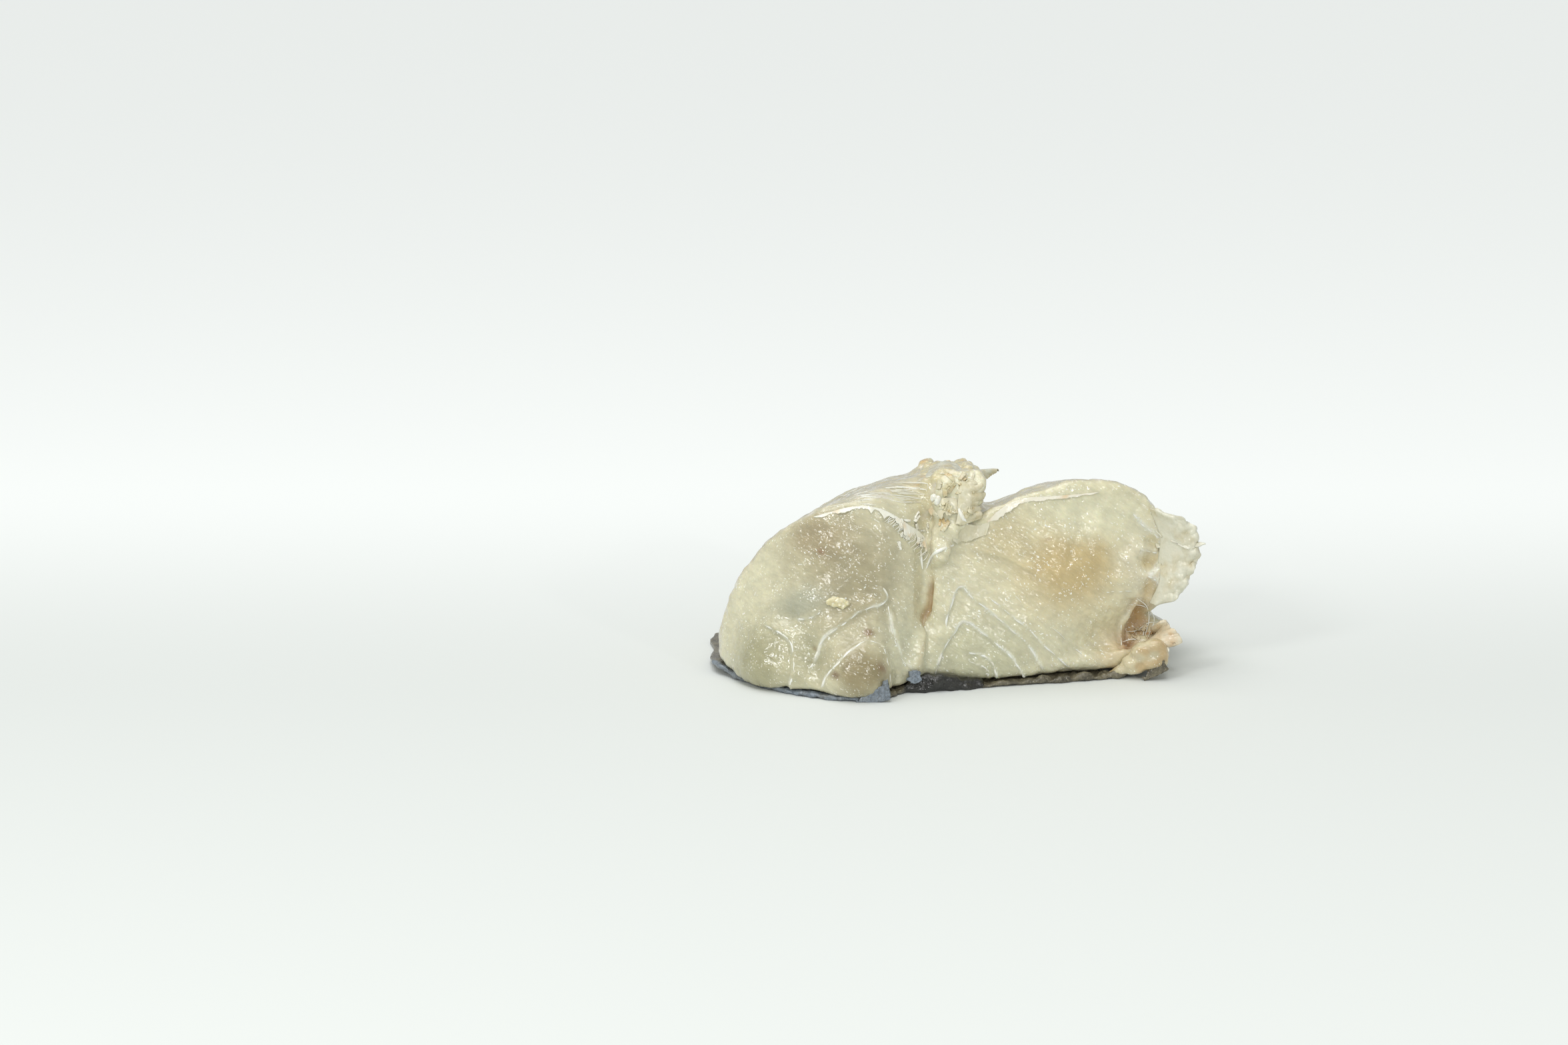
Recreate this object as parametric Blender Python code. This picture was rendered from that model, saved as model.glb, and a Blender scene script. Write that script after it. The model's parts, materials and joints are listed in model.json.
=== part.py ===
"""A thick cross-cut of split salted cod: two back loins side by side on their skin.

Metres, +Z up. X runs across the fish, Y along it. The near cut face looks towards -Y,
and the origin is the middle of the part's box, on the surface that it rests on.
"""

import math

import bmesh
import bpy
from mathutils import Matrix, Vector, noise

MM = 0.001

# Driving sizes of the piece of fish.
LEFT_END = -72 * MM
RIGHT_END = 74 * MM
CUT_LENGTH = 86 * MM  # along the fish, from the near cut to the far one
SKIN_THICKNESS = 1.6 * MM
SKIN_GAP = 0.3 * MM
LOIN_STAND = 9 * MM  # how far the near cut leans back from the skin to the top

# The left loin: at the cut it falls to the midline, further in it runs up to the ridge.
LEFT_CREST_AT_CUT = -27 * MM
LEFT_CREST_INSIDE = -15 * MM
LEFT_HEIGHT_AT_CUT = 58 * MM
LEFT_HEIGHT_INSIDE = 62 * MM
LEFT_OUTER_HALF_AT_CUT = 46 * MM
LEFT_OUTER_HALF_INSIDE = 58 * MM
LEFT_INNER_HALF_AT_CUT = 27 * MM
LEFT_INNER_HALF_INSIDE = 44 * MM
LEFT_ROUNDNESS = 2.0
LEFT_SHOULDER_ROUNDNESS = 1.6

# The right loin: broader and fuller, with a torn outer side that overhangs its foot.
RIGHT_CREST_X = 42 * MM
RIGHT_HEIGHT = 61.5 * MM
RIGHT_DROP_INSIDE = 3.5 * MM
RIGHT_OUTER_HALF = 33 * MM
RIGHT_INNER_HALF_AT_CUT = 53 * MM
RIGHT_INNER_HALF_INSIDE = 46 * MM
RIGHT_ROUNDNESS = 2.5
RIGHT_INNER_ROUNDNESS = 2.3
RIGHT_UNDERCUT = 21 * MM
SADDLE_HEIGHT = 43 * MM
SADDLE_RISE = 0.5

# Both backs get lower towards the far cut and thin out towards the sides.
FALL_TO_FAR_CUT = 9 * MM
THINNEST_EDGE = 4 * MM

MIDLINE_X = -9 * MM
CLEFT_DEPTH = 7 * MM
CLEFT_HALF_WIDTH = 3.2 * MM

# The torn tissue that stays where the backbone was cut out.
RIDGE_HALF_WIDTH = 9.5 * MM
RIDGE_FOOT = 34 * MM
RIDGE_TOP = 63 * MM
RIDGE_SETBACK = 9 * MM
RIDGE_FLARE = 4 * MM

# The skin reaches a little past the flesh and curls up at its right end.
SKIN_LEFT_END = -74.5 * MM
SKIN_RIGHT_END = 66 * MM
SKIN_CURL = 5 * MM
SKIN_CURL_START = 54 * MM
SKIN_ROLL_RADIUS = 2.3 * MM
SKIN_ROLL_ENDS = (-13 * MM, 9 * MM)

FLESH_CUTS_ACROSS = 38
FLESH_CUTS_ALONG = 12
FLESH_CUTS_UP = 11
SKIN_CUTS_ACROSS = 34


def mix(low, high, share):
    """The value that lies share of the way from low to high."""
    return low + (high - low) * share


def ease(value, start, end):
    """0 before start, 1 after end and a smooth rise between them."""
    t = min(1.0, max(0.0, (value - start) / (end - start)))
    return t * t * (3 - 2 * t)


def bell(value, centre, half_width):
    """1 at the centre, falling smoothly to nearly 0 two half widths away."""
    return math.exp(-(((value - centre) / half_width) ** 2))


def arch(x, crest, half, height, power):
    """The height of a rounded back at x, from its crest out to half away."""
    reach = min(1.0, abs(x - crest) / half)
    return height * (1 - reach**power) ** (1 / power)


def soft_max(a, b, blend):
    """The larger of a and b, rounded over blend where they meet."""
    mid = max(0.0, 1 - abs(a - b) / blend)
    return max(a, b) + mid * mid * blend / 4


def near_cut(x, z):
    """Y of the near cut face. Its foot bows back at both ends and steps at the midline."""
    bow = 33 * MM * (max(0.0, -30 * MM - x) / (44 * MM)) ** 2
    step = ease(x, -25 * MM, -13 * MM)
    slant = 17 * MM * max(0.0, x - MIDLINE_X) / (64 * MM)
    lean = mix(LOIN_STAND + 9 * MM, LOIN_STAND, step) * ease(z, -14 * MM, LEFT_HEIGHT_AT_CUT)
    foot = 2 * MM * bell(x, -30 * MM, 12 * MM) * bell(z, 8 * MM, 12 * MM)
    crown = 3 * MM * bell(x, 34 * MM, 22 * MM) * bell(z, 26 * MM, 22 * MM)
    return bow + 12 * MM * step + slant + lean - foot - crown


def far_cut(x, z):
    """Y of the far cut face, which is a little rounded off."""
    return CUT_LENGTH - 6 * MM * (x / RIGHT_END) ** 2 - 4 * MM * z / RIGHT_HEIGHT


def left_loin(x, inside):
    """Height of the left back at x, with inside 0 at the near cut and 1 further in."""
    crest = mix(LEFT_CREST_AT_CUT, LEFT_CREST_INSIDE, inside)
    height = mix(LEFT_HEIGHT_AT_CUT, LEFT_HEIGHT_INSIDE, inside)
    if x > crest:
        half = mix(LEFT_INNER_HALF_AT_CUT, LEFT_INNER_HALF_INSIDE, inside)
        return arch(x, crest, half, height, LEFT_ROUNDNESS)
    half = mix(LEFT_OUTER_HALF_AT_CUT, LEFT_OUTER_HALF_INSIDE, inside)
    return arch(x, crest, half, height, mix(LEFT_ROUNDNESS, LEFT_SHOULDER_ROUNDNESS, inside))


def right_loin(x, inside):
    """Height of the right back at x, with inside 0 at the near cut and 1 further in."""
    height = RIGHT_HEIGHT - RIGHT_DROP_INSIDE * inside
    if x > RIGHT_CREST_X:
        return arch(x, RIGHT_CREST_X, RIGHT_OUTER_HALF, height, RIGHT_ROUNDNESS)
    half = mix(RIGHT_INNER_HALF_AT_CUT, RIGHT_INNER_HALF_INSIDE, inside)
    return arch(x, RIGHT_CREST_X, half, height, RIGHT_INNER_ROUNDNESS)


def loin_top(x, depth):
    """Height of the two backs and the saddle between them at x, depth behind the near cut."""
    inside = ease(depth, 0, 24 * MM)
    left = left_loin(x, inside) if x < 12 * MM else 0.0
    saddle = SADDLE_HEIGHT - 5 * MM * inside + SADDLE_RISE * max(0.0, x - MIDLINE_X)
    saddle *= ease(x, -18 * MM, MIDLINE_X) * (1 - ease(x, 14 * MM, 24 * MM))
    top = soft_max(soft_max(left, right_loin(x, inside), 4 * MM), saddle, 4 * MM)
    fall = FALL_TO_FAR_CUT * ease(depth, 8 * MM, CUT_LENGTH) * top / RIGHT_HEIGHT
    swell = 1.4 * MM * noise.noise(Vector((x, depth, 0)) / (17 * MM))
    return top - fall + swell


def skin_lift(x, y):
    """How far the skin stands off the table: its right end curls up, its left corner a little."""
    curl = SKIN_CURL * ease(x, SKIN_CURL_START, SKIN_RIGHT_END + 4 * MM)
    corner = 3 * MM * ease(-x, 62 * MM, 78 * MM) * (1 - ease(y, 30 * MM, 60 * MM))
    return curl + corner


def flesh_foot(x, y):
    """Height of the flesh's underside, which follows the skin."""
    return skin_lift(x, y) + SKIN_THICKNESS + SKIN_GAP


def divided_block(across, along, up, extra_across=()):
    """A unit block from 0 to 1 each way, with its faces cut into a grid."""
    bm = bmesh.new()
    bmesh.ops.create_cube(bm, size=1, matrix=Matrix.Translation((0.5, 0.5, 0.5)))
    planes = [((i / across, 0, 0), (1, 0, 0)) for i in range(1, across)]
    planes += [((share, 0, 0), (1, 0, 0)) for share in extra_across]
    planes += [((0, i / along, 0), (0, 1, 0)) for i in range(1, along)]
    planes += [((0, 0, i / up), (0, 0, 1)) for i in range(1, up)]
    for point, normal in planes:
        everything = bm.verts[:] + bm.edges[:] + bm.faces[:]
        bmesh.ops.bisect_plane(bm, geom=everything, plane_co=point, plane_no=normal, dist=1e-6)
    return bm


def finished(name, bm, shape=None):
    """An object of the block's mesh, with each point moved to where shape puts it."""
    if shape is not None:
        for vert in bm.verts:
            vert.co = shape(*vert.co)
    bmesh.ops.triangulate(bm, faces=bm.faces[:])
    bmesh.ops.recalc_face_normals(bm, faces=bm.faces[:])
    mesh = bpy.data.meshes.new(name)
    bm.to_mesh(mesh)
    bm.free()
    mesh.shade_smooth()
    obj = bpy.data.objects.new(name, mesh)
    bpy.context.scene.collection.objects.link(obj)
    return obj


def helper(obj):
    """Marks an object that only shapes another one."""
    obj.hide_render = True
    obj.display_type = "WIRE"
    return obj


def combine(target, other, operation):
    """Adds other to target, or cuts it out, with an exact Boolean."""
    boolean = target.modifiers.new(f"{operation.lower()} {other.name}", "BOOLEAN")
    boolean.operation = operation
    boolean.object = helper(other)
    boolean.solver = "EXACT"


def material(name, colour, roughness):
    """A plain glossy or dull finish."""
    made = bpy.data.materials.new(name)
    made.use_nodes = True
    shader = made.node_tree.nodes["Principled BSDF"]
    shader.inputs["Base Color"].default_value = (*colour, 1)
    shader.inputs["Roughness"].default_value = roughness
    shader.inputs["Metallic"].default_value = 0.0
    return made


def spread(share, low, high):
    """A place from low to high, with places closer together near both ends."""
    even = mix(low, high, share)
    rounded = (low + high) / 2 - (high - low) / 2 * math.cos(math.pi * share)
    return mix(even, rounded, 0.45)


def share_at(x, low, high):
    """The share at which spread gives x, found by halving."""
    near, far = 0.0, 1.0
    for _ in range(40):
        middle = (near + far) / 2
        if spread(middle, low, high) < x:
            near = middle
        else:
            far = middle
    return near


def flesh_point(a, b, c):
    """Where a point of the unit block lies in the flesh."""
    x = spread(a, LEFT_END, RIGHT_END)
    rough_y = mix(near_cut(x, 0), far_cut(x, 0), b)
    depth = rough_y - near_cut(x, 0)
    foot = flesh_foot(x, rough_y)
    height = soft_max(loin_top(x, depth), foot + THINNEST_EDGE, THINNEST_EDGE)
    z = mix(foot, height, c)
    tucked = RIGHT_UNDERCUT * ease(x, 20 * MM, RIGHT_END) * (1 - ease(z, 9 * MM, 29 * MM))
    along = ease(b, 0, 1) * 0.3 + b * 0.7
    y = mix(near_cut(x, z), far_cut(x, z), along)
    cleft = CLEFT_DEPTH * bell(x, MIDLINE_X, CLEFT_HALF_WIDTH / 2)
    y += cleft * ease(z, 7 * MM, 16 * MM) * (1 - ease(b, 0, 0.15))
    return Vector((x - tucked, y, z))


def ridge_point(a, b, c):
    """Where a point of the unit block lies in the ridge of torn tissue."""
    start = near_cut(0, RIDGE_FOOT) + RIDGE_SETBACK
    y = mix(start, far_cut(0, RIDGE_FOOT) - 3 * MM, b)
    crest = RIDGE_TOP - 5 * MM * b + 3.2 * MM * noise.noise(Vector((3.1, y / (8 * MM), 0)))
    crest -= 3 * MM * bell(a, 0.55, 0.12)
    waist = mix(0.75, 1.0, abs(2 * c - 1))
    x = -0.5 * MM + (2 * a - 1) * RIDGE_HALF_WIDTH * waist
    x += RIDGE_FLARE * a * ease(c, 0.8, 1) * (1 - ease(b, 0.1, 0.4))
    x += 1.8 * MM * noise.noise(Vector((a, y / (9 * MM), c * 3)))
    y += 2.5 * MM * noise.noise(Vector((a * 3, b, c * 3 + 7)))
    return Vector((x, y, mix(RIDGE_FOOT, crest, c)))


def skin_point(a, b, c):
    """Where a point of the unit block lies in the skin."""
    x = spread(a, SKIN_LEFT_END, SKIN_RIGHT_END)
    wave = 0.9 * MM * noise.noise(Vector((x / (9 * MM), 5.3, 0)))
    y = mix(near_cut(x, 0) - 1.5 * MM + wave, far_cut(x, 0) + 1 * MM + wave, b)
    return Vector((x, y, skin_lift(x, y) + SKIN_THICKNESS * c))


def lump(name, centre, radii, turn=0.0, subdivisions=3):
    """A rounded, slightly uneven lump, turned about Y by turn degrees."""
    bm = bmesh.new()
    bmesh.ops.create_icosphere(bm, subdivisions=subdivisions, radius=1)
    for vert in bm.verts:
        vert.co *= 1 + 0.12 * noise.noise(vert.co * 1.7 + Vector(centre) / (10 * MM))
    bmesh.ops.scale(bm, vec=radii, verts=bm.verts[:])
    bmesh.ops.rotate(bm, matrix=Matrix.Rotation(math.radians(turn), 3, "Y"), verts=bm.verts[:])
    bmesh.ops.translate(bm, vec=centre, verts=bm.verts[:])
    return finished(name, bm)


def roll(name, radius):
    """The skin's rolled edge: a round bar with closed ends along the near cut's foot."""
    start, end = SKIN_ROLL_ENDS
    bm = bmesh.new()
    turn = Matrix.Rotation(math.radians(90), 4, "Y")
    bmesh.ops.create_cone(
        bm, cap_ends=True, segments=12, radius1=radius, radius2=radius, depth=end - start, matrix=turn
    )
    bmesh.ops.translate(bm, vec=((start + end) / 2, 0, SKIN_ROLL_RADIUS), verts=bm.verts[:])
    for x in (mix(start, end, share) for share in (0.25, 0.5, 0.75)):
        everything = bm.verts[:] + bm.edges[:] + bm.faces[:]
        bmesh.ops.bisect_plane(bm, geom=everything, plane_co=(x, 0, 0), plane_no=(1, 0, 0), dist=1e-6)
    for vert in bm.verts:
        vert.co.y += near_cut(vert.co.x, 0) + 0.8 * MM
    return finished(name, bm)


def make_flesh():
    """Both loins in one solid, with the ridge between them and the torn tissue on the right."""
    midline = [
        share_at(MIDLINE_X + offset * CLEFT_HALF_WIDTH, LEFT_END, RIGHT_END)
        for offset in (-1, 0, 1)
    ]
    bm = divided_block(FLESH_CUTS_ACROSS, FLESH_CUTS_ALONG, FLESH_CUTS_UP, midline)
    flesh = finished("flesh", bm, flesh_point)
    ridge = finished("ridge_of_tissue", divided_block(6, 14, 6), ridge_point)
    combine(flesh, ridge, "UNION")
    belly_y = near_cut(50 * MM, 9 * MM) + 15 * MM
    belly_stub = lump("belly_stub", (53 * MM, belly_y, 7.8 * MM), (12 * MM, 16 * MM, 4.4 * MM), -12)
    combine(flesh, belly_stub, "UNION")
    flap_y = near_cut(63 * MM, 13 * MM) + 14 * MM
    low_flap = lump("low_flap", (63 * MM, flap_y, 13 * MM), (9 * MM, 8 * MM, 3.2 * MM), 24, 2)
    combine(flesh, low_flap, "UNION")
    flake_y = near_cut(66 * MM, 40 * MM) + 7 * MM
    flake = lump("torn_flake", (69 * MM, flake_y, 38 * MM), (8 * MM, 4 * MM, 12 * MM), 6, 2)
    combine(flesh, flake, "UNION")
    combine(flesh, roll("roll_clearance", SKIN_ROLL_RADIUS + SKIN_GAP), "DIFFERENCE")
    flesh.data.materials.append(material("cod_flesh", (0.62, 0.56, 0.40), 0.35))
    return flesh


def make_skin():
    """The skin under both loins, with its near edge rolled in at the midline."""
    bm = divided_block(SKIN_CUTS_ACROSS, FLESH_CUTS_ALONG, 1)
    skin = finished("skin", bm, skin_point)
    combine(skin, roll("rolled_edge", SKIN_ROLL_RADIUS), "UNION")
    skin.data.materials.append(material("cod_skin", (0.10, 0.09, 0.075), 0.5))
    return skin


def centre_on_base(objects):
    """Moves every mesh so that the shown parts' box stands on the origin."""
    graph = bpy.context.evaluated_depsgraph_get()
    corners = []
    for obj in objects:
        evaluated = obj.evaluated_get(graph)
        corners += [vert.co.copy() for vert in evaluated.data.vertices]
    low = Vector([min(corner[i] for corner in corners) for i in range(3)])
    high = Vector([max(corner[i] for corner in corners) for i in range(3)])
    shift = Vector((-(low.x + high.x) / 2, -(low.y + high.y) / 2, -low.z))
    for mesh in bpy.data.meshes:
        mesh.transform(Matrix.Translation(shift))


def main():
    """Clears the scene and builds the fish."""
    for obj in list(bpy.data.objects):
        bpy.data.objects.remove(obj)
    for mesh in list(bpy.data.meshes):
        bpy.data.meshes.remove(mesh)
    shown = [make_flesh(), make_skin()]
    bpy.context.view_layer.update()
    centre_on_base(shown)


main()
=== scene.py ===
"""Looks of a thick cross-cut of split, salted and soaked cod lying on its skin.

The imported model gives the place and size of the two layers, flesh and skin. Each class below
makes one part of the fish from them. X runs across the fish, Y along it, Z up, in metres.
"""

from __future__ import annotations

import json
import logging
import math
from collections.abc import Sequence
from dataclasses import dataclass, field
from enum import Enum

import bmesh
import bpy
import numpy as np
from mathutils import Matrix, Vector, noise
from mathutils.bvhtree import BVHTree

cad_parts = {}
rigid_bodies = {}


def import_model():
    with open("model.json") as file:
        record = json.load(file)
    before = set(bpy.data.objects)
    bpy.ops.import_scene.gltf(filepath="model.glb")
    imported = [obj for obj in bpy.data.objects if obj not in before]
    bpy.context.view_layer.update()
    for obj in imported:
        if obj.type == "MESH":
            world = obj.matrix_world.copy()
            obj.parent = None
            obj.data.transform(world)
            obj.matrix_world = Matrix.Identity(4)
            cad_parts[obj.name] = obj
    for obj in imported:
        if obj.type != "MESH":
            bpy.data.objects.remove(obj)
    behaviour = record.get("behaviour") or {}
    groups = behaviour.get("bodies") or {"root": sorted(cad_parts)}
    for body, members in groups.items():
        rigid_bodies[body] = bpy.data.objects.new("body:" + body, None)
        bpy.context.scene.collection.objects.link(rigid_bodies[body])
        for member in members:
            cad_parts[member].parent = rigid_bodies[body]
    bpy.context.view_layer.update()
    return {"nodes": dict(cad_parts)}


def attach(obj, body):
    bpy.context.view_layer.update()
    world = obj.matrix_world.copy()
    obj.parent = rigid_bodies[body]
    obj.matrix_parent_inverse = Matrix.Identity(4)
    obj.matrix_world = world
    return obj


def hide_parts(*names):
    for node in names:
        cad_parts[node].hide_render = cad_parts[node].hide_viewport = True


for leftover in list(bpy.data.objects):
    bpy.data.objects.remove(leftover)

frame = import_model()

MM = 0.001
LOG = logging.getLogger("cod")
Point2 = tuple[float, float]
Colour = tuple[float, float, float]
ZERO = Vector((0.0, 0.0, 0.0))

# Steps that spread a run of things evenly: as shares of a width or height, and as a turn.
GOLDEN = 0.618034
PLASTIC = 0.754878
PLASTIC_SQUARE = 0.5698
PLASTIC_FIFTH = 0.3247
GOLDEN_TURN = 2.39996

# The torn tips end at this height.
TALLEST = 65.5 * MM


def linear(red: float, green: float, blue: float) -> Colour:
    """Turns a screen colour into the linear colour that a shader takes.

    Args:
        red, green, blue: The screen colour, from 0 to 255.

    Returns:
        The linear colour.
    """
    steps = [value / 255 for value in (red, green, blue)]
    line = [s / 12.92 if s <= 0.04045 else ((s + 0.055) / 1.055) ** 2.4 for s in steps]
    return tuple(min(1.0, value) for value in line)


def ease(value: np.ndarray, start: float, end: float) -> np.ndarray:
    """0 before start, 1 after end and a smooth rise between them."""
    t = np.clip((value - start) / (end - start), 0.0, 1.0)
    return t * t * (3 - 2 * t)


def bell(value: np.ndarray, centre: float, half: float) -> np.ndarray:
    """1 at the centre, falling smoothly to nearly 0 two half widths away."""
    return np.exp(-(((value - centre) / half) ** 2))


def wander(points: np.ndarray, size: float, seed: float, octaves: int = 1) -> np.ndarray:
    """Smooth random values, about -1 to 1, at many places.

    Args:
        points: The places, one row each.
        size: How far apart the rises and dips are, in the points' unit.
        seed: Gives another pattern for another number.
        octaves: How many finer layers are added, each half as strong.

    Returns:
        One value for each place.
    """
    total = np.zeros(len(points))
    for octave in range(octaves):
        step = size / 2**octave
        scaled = points / step + seed * 7.13 + octave * 3.7
        total += np.array([noise.noise(row) for row in scaled]) / 2**octave
    return total * 1.6


def coordinates(mesh: bpy.types.Mesh) -> np.ndarray:
    """The places of a mesh's vertices, one row each."""
    flat = np.zeros(len(mesh.vertices) * 3)
    mesh.vertices.foreach_get("co", flat)
    return flat.reshape(-1, 3)


def put(mesh: bpy.types.Mesh, places: np.ndarray) -> None:
    """Moves a mesh's vertices to the given places."""
    mesh.vertices.foreach_set("co", places.astype(np.float32).ravel())
    mesh.update()


def normals(mesh: bpy.types.Mesh) -> np.ndarray:
    """The directions that a mesh's vertices face, one row each."""
    flat = np.zeros(len(mesh.vertices) * 3)
    mesh.vertex_normals.foreach_get("vector", flat)
    return flat.reshape(-1, 3)


def edge_ends(mesh: bpy.types.Mesh) -> np.ndarray:
    """The two vertex numbers of each edge, one row each."""
    flat = np.zeros(len(mesh.edges) * 2, np.int32)
    mesh.edges.foreach_get("vertices", flat)
    return flat.reshape(-1, 2)


def relaxed(values: np.ndarray, ends: np.ndarray, times: int, share: float = 0.5) -> np.ndarray:
    """Moves each row of values towards the mean of its neighbours.

    Args:
        values: One row for each vertex.
        ends: The two vertex numbers of each edge.
        times: How often the values are moved.
        share: How far they are moved each time.

    Returns:
        The smoothed values.
    """
    made = values.copy()
    one, two = ends[:, 0], ends[:, 1]
    count = np.maximum(1, np.bincount(ends.ravel(), minlength=len(made)))
    for _ in range(times):
        for column in range(made.shape[1]):
            here = made[:, column]
            total = np.bincount(one, here[two], len(made)) + np.bincount(two, here[one], len(made))
            made[:, column] = here + share * (total / count - here)
    return made


def shaken(places: np.ndarray) -> np.ndarray:
    """How far a drawn line strays at each place, in millimetres across and up."""
    broad = np.stack([wander(places, 7 * MM, 3.1), wander(places, 7 * MM, 5.7)], axis=1)
    fine = np.stack([wander(places, 2 * MM, 8.1), wander(places, 2 * MM, 9.7)], axis=1)
    return 0.55 * broad + 0.12 * fine


def note(mesh: bpy.types.Mesh, name: str, values: np.ndarray) -> None:
    """Stores one number for each vertex, for the materials to read."""
    store = mesh.attributes.new(name, "FLOAT", "POINT")
    store.data.foreach_set("value", values.astype(np.float32))


def note_colour(mesh: bpy.types.Mesh, name: str, values: np.ndarray) -> None:
    """Stores one linear colour for each vertex, for the materials to read."""
    store = mesh.color_attributes.new(name, "FLOAT_COLOR", "POINT")
    full = np.ones((len(values), 4), np.float32)
    full[:, :3] = np.clip(values, 0, 1)
    store.data.foreach_set("color", full.ravel())


@dataclass(frozen=True)
class Eye:
    """Where the fish is looked at from, and the upright drawing plane that details are laid out on.

    A drawing place is (across, up) in millimetres, with the foot of the fish at up = 0.
    """

    lens: float = 70.0
    film: float = 36.0
    tilt: float = math.radians(12)
    distance: float = 914.7 * MM
    mark: tuple[float, float, float] = (-27.3 * MM, -43.6 * MM, 0.0)
    mark_right: float = 25.6 * MM
    mark_under: float = 54.2 * MM
    mark_across: float = -26.8

    def ahead(self) -> Vector:
        """The direction that the eye looks in."""
        return Vector((0, math.cos(self.tilt), -math.sin(self.tilt)))

    def up(self) -> Vector:
        """The drawing plane's upward direction."""
        return Vector((0, math.sin(self.tilt), math.cos(self.tilt)))

    def place(self) -> Vector:
        """Where the eye is."""
        offset = Vector((1, 0, 0)) * self.mark_right - self.up() * self.mark_under
        return Vector(self.mark) - offset - self.ahead() * self.distance

    def drawn(self, points: np.ndarray) -> np.ndarray:
        """Finds where places in space fall on the drawing plane.

        Args:
            points: The places in metres, one row each.

        Returns:
            (across, up) in millimetres, one row each.
        """
        away = points - np.array(self.place())
        depth = away @ np.array(self.ahead())
        across = away[:, 0] / depth * self.distance - self.mark_right
        up = away @ np.array(self.up()) / depth * self.distance + self.mark_under
        return np.stack([across / MM + self.mark_across, up / MM], axis=1)

    def sight(self, spot: Point2) -> Vector:
        """The direction from the eye through a drawing place."""
        across = (spot[0] - self.mark_across) * MM + self.mark_right
        up = spot[1] * MM - self.mark_under
        return (Vector((across, 0, 0)) + self.up() * up + self.ahead() * self.distance).normalized()


EYE = Eye()


@dataclass(frozen=True)
class Cut:
    """The near cut face, as a function of the place across and the height."""

    shift: Point2 = (1.254 * MM, 43.037 * MM)
    midline: float = -9 * MM
    stand: float = 9 * MM

    def near(self, x: np.ndarray, z: np.ndarray) -> np.ndarray:
        """The near face's Y in the fish's own frame."""
        across = x + self.shift[0]
        bow = 33 * MM * (np.maximum(0.0, -30 * MM - across) / (44 * MM)) ** 2
        step = ease(across, -25 * MM, -13 * MM)
        slant = 17 * MM * np.maximum(0.0, across - self.midline) / (64 * MM)
        lean = (self.stand * (2 - step)) * ease(z, -14 * MM, 58 * MM)
        return bow + 12 * MM * step + slant + lean - self.shift[1]

    def depth(self, points: np.ndarray) -> np.ndarray:
        """How far each place lies behind the near face."""
        return points[:, 1] - self.near(points[:, 0], points[:, 2])


CUT = Cut()


class Solid:
    """A closed surface that details are laid on."""

    def __init__(self, mesh: bpy.types.Mesh) -> None:
        """Reads the surface of a mesh."""
        corners = [vert.co.copy() for vert in mesh.vertices]
        self.tree = BVHTree.FromPolygons(corners, [tuple(face.vertices) for face in mesh.polygons])

    def seen(self, spot: Point2, lift: float = 0.0) -> Vector:
        """Finds the place on the surface that a drawing place shows.

        Args:
            spot: (across, up) on the drawing plane, in millimetres.
            lift: How far in front of the surface the place is, in metres.

        Returns:
            The place in space.
        """
        start, way = EYE.place(), EYE.sight(spot)
        hit = self.tree.ray_cast(start, way)[0]
        if hit is None:
            hit = self.tree.find_nearest(start + way * (EYE.distance + 25 * MM))[0]
        return hit - way * lift

    def behind(self, spot: Point2, depth: float) -> Vector:
        """The place that a drawing place shows, at a depth behind the fish's nearest foot."""
        start, way = EYE.place(), EYE.sight(spot)
        return start + way * ((EYE.mark[1] + depth - start.y) / way.y)


def smooth_path(points: Sequence[Vector], count: int) -> list[Vector]:
    """Places evenly spread on a smooth curve through the given points.

    Args:
        points: Two or more places.
        count: How many places are wanted.

    Returns:
        The places, from the first point to the last.
    """
    if len(points) < 3:
        return [points[0].lerp(points[-1], i / (count - 1)) for i in range(count)]
    ends = [points[0] * 2 - points[1], *points, points[-1] * 2 - points[-2]]
    dense = []
    for i in range(1, len(ends) - 2):
        a, b, c, d = ends[i - 1 : i + 3]
        for step in range(16):
            t = step / 16
            bend = (c - a) * t + (a * 2 - b * 5 + c * 4 - d) * t * t
            dense.append(b + (bend + (b * 3 - a - c * 3 + d) * t**3) * 0.5)
    dense.append(points[-1].copy())
    travel = np.cumsum([0.0] + [(q - p).length for p, q in zip(dense, dense[1:])])
    made = []
    for want in np.linspace(0, travel[-1], count):
        k = min(len(dense) - 2, max(0, int(np.searchsorted(travel, want)) - 1))
        span = max(1e-9, travel[k + 1] - travel[k])
        made.append(dense[k].lerp(dense[k + 1], (want - travel[k]) / span))
    return made


def piece(name: str, mesh: bpy.types.Mesh, finish: bpy.types.Material) -> bpy.types.Object:
    """Makes a finished piece that moves with the fish.

    Args:
        name: The piece's name.
        mesh: Its mesh, already in place.
        finish: Its material.

    Returns:
        The piece.
    """
    mesh.name = name
    places = coordinates(mesh)
    places[:, 2] = np.clip(places[:, 2], 0.0, TALLEST)
    put(mesh, places)
    mesh.materials.clear()
    mesh.materials.append(finish)
    mesh.shade_smooth()
    obj = bpy.data.objects.new(name, mesh)
    bpy.context.scene.collection.objects.link(obj)
    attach(obj, "root")
    LOG.info("%s: %d faces", name, len(mesh.polygons))
    return obj


def mesh_of(name: str, bm: bmesh.types.BMesh) -> bpy.types.Mesh:
    """Turns a bmesh into a mesh whose faces point outwards."""
    bmesh.ops.recalc_face_normals(bm, faces=bm.faces[:])
    mesh = bpy.data.meshes.new(name)
    bm.to_mesh(mesh)
    bm.free()
    return mesh


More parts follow.
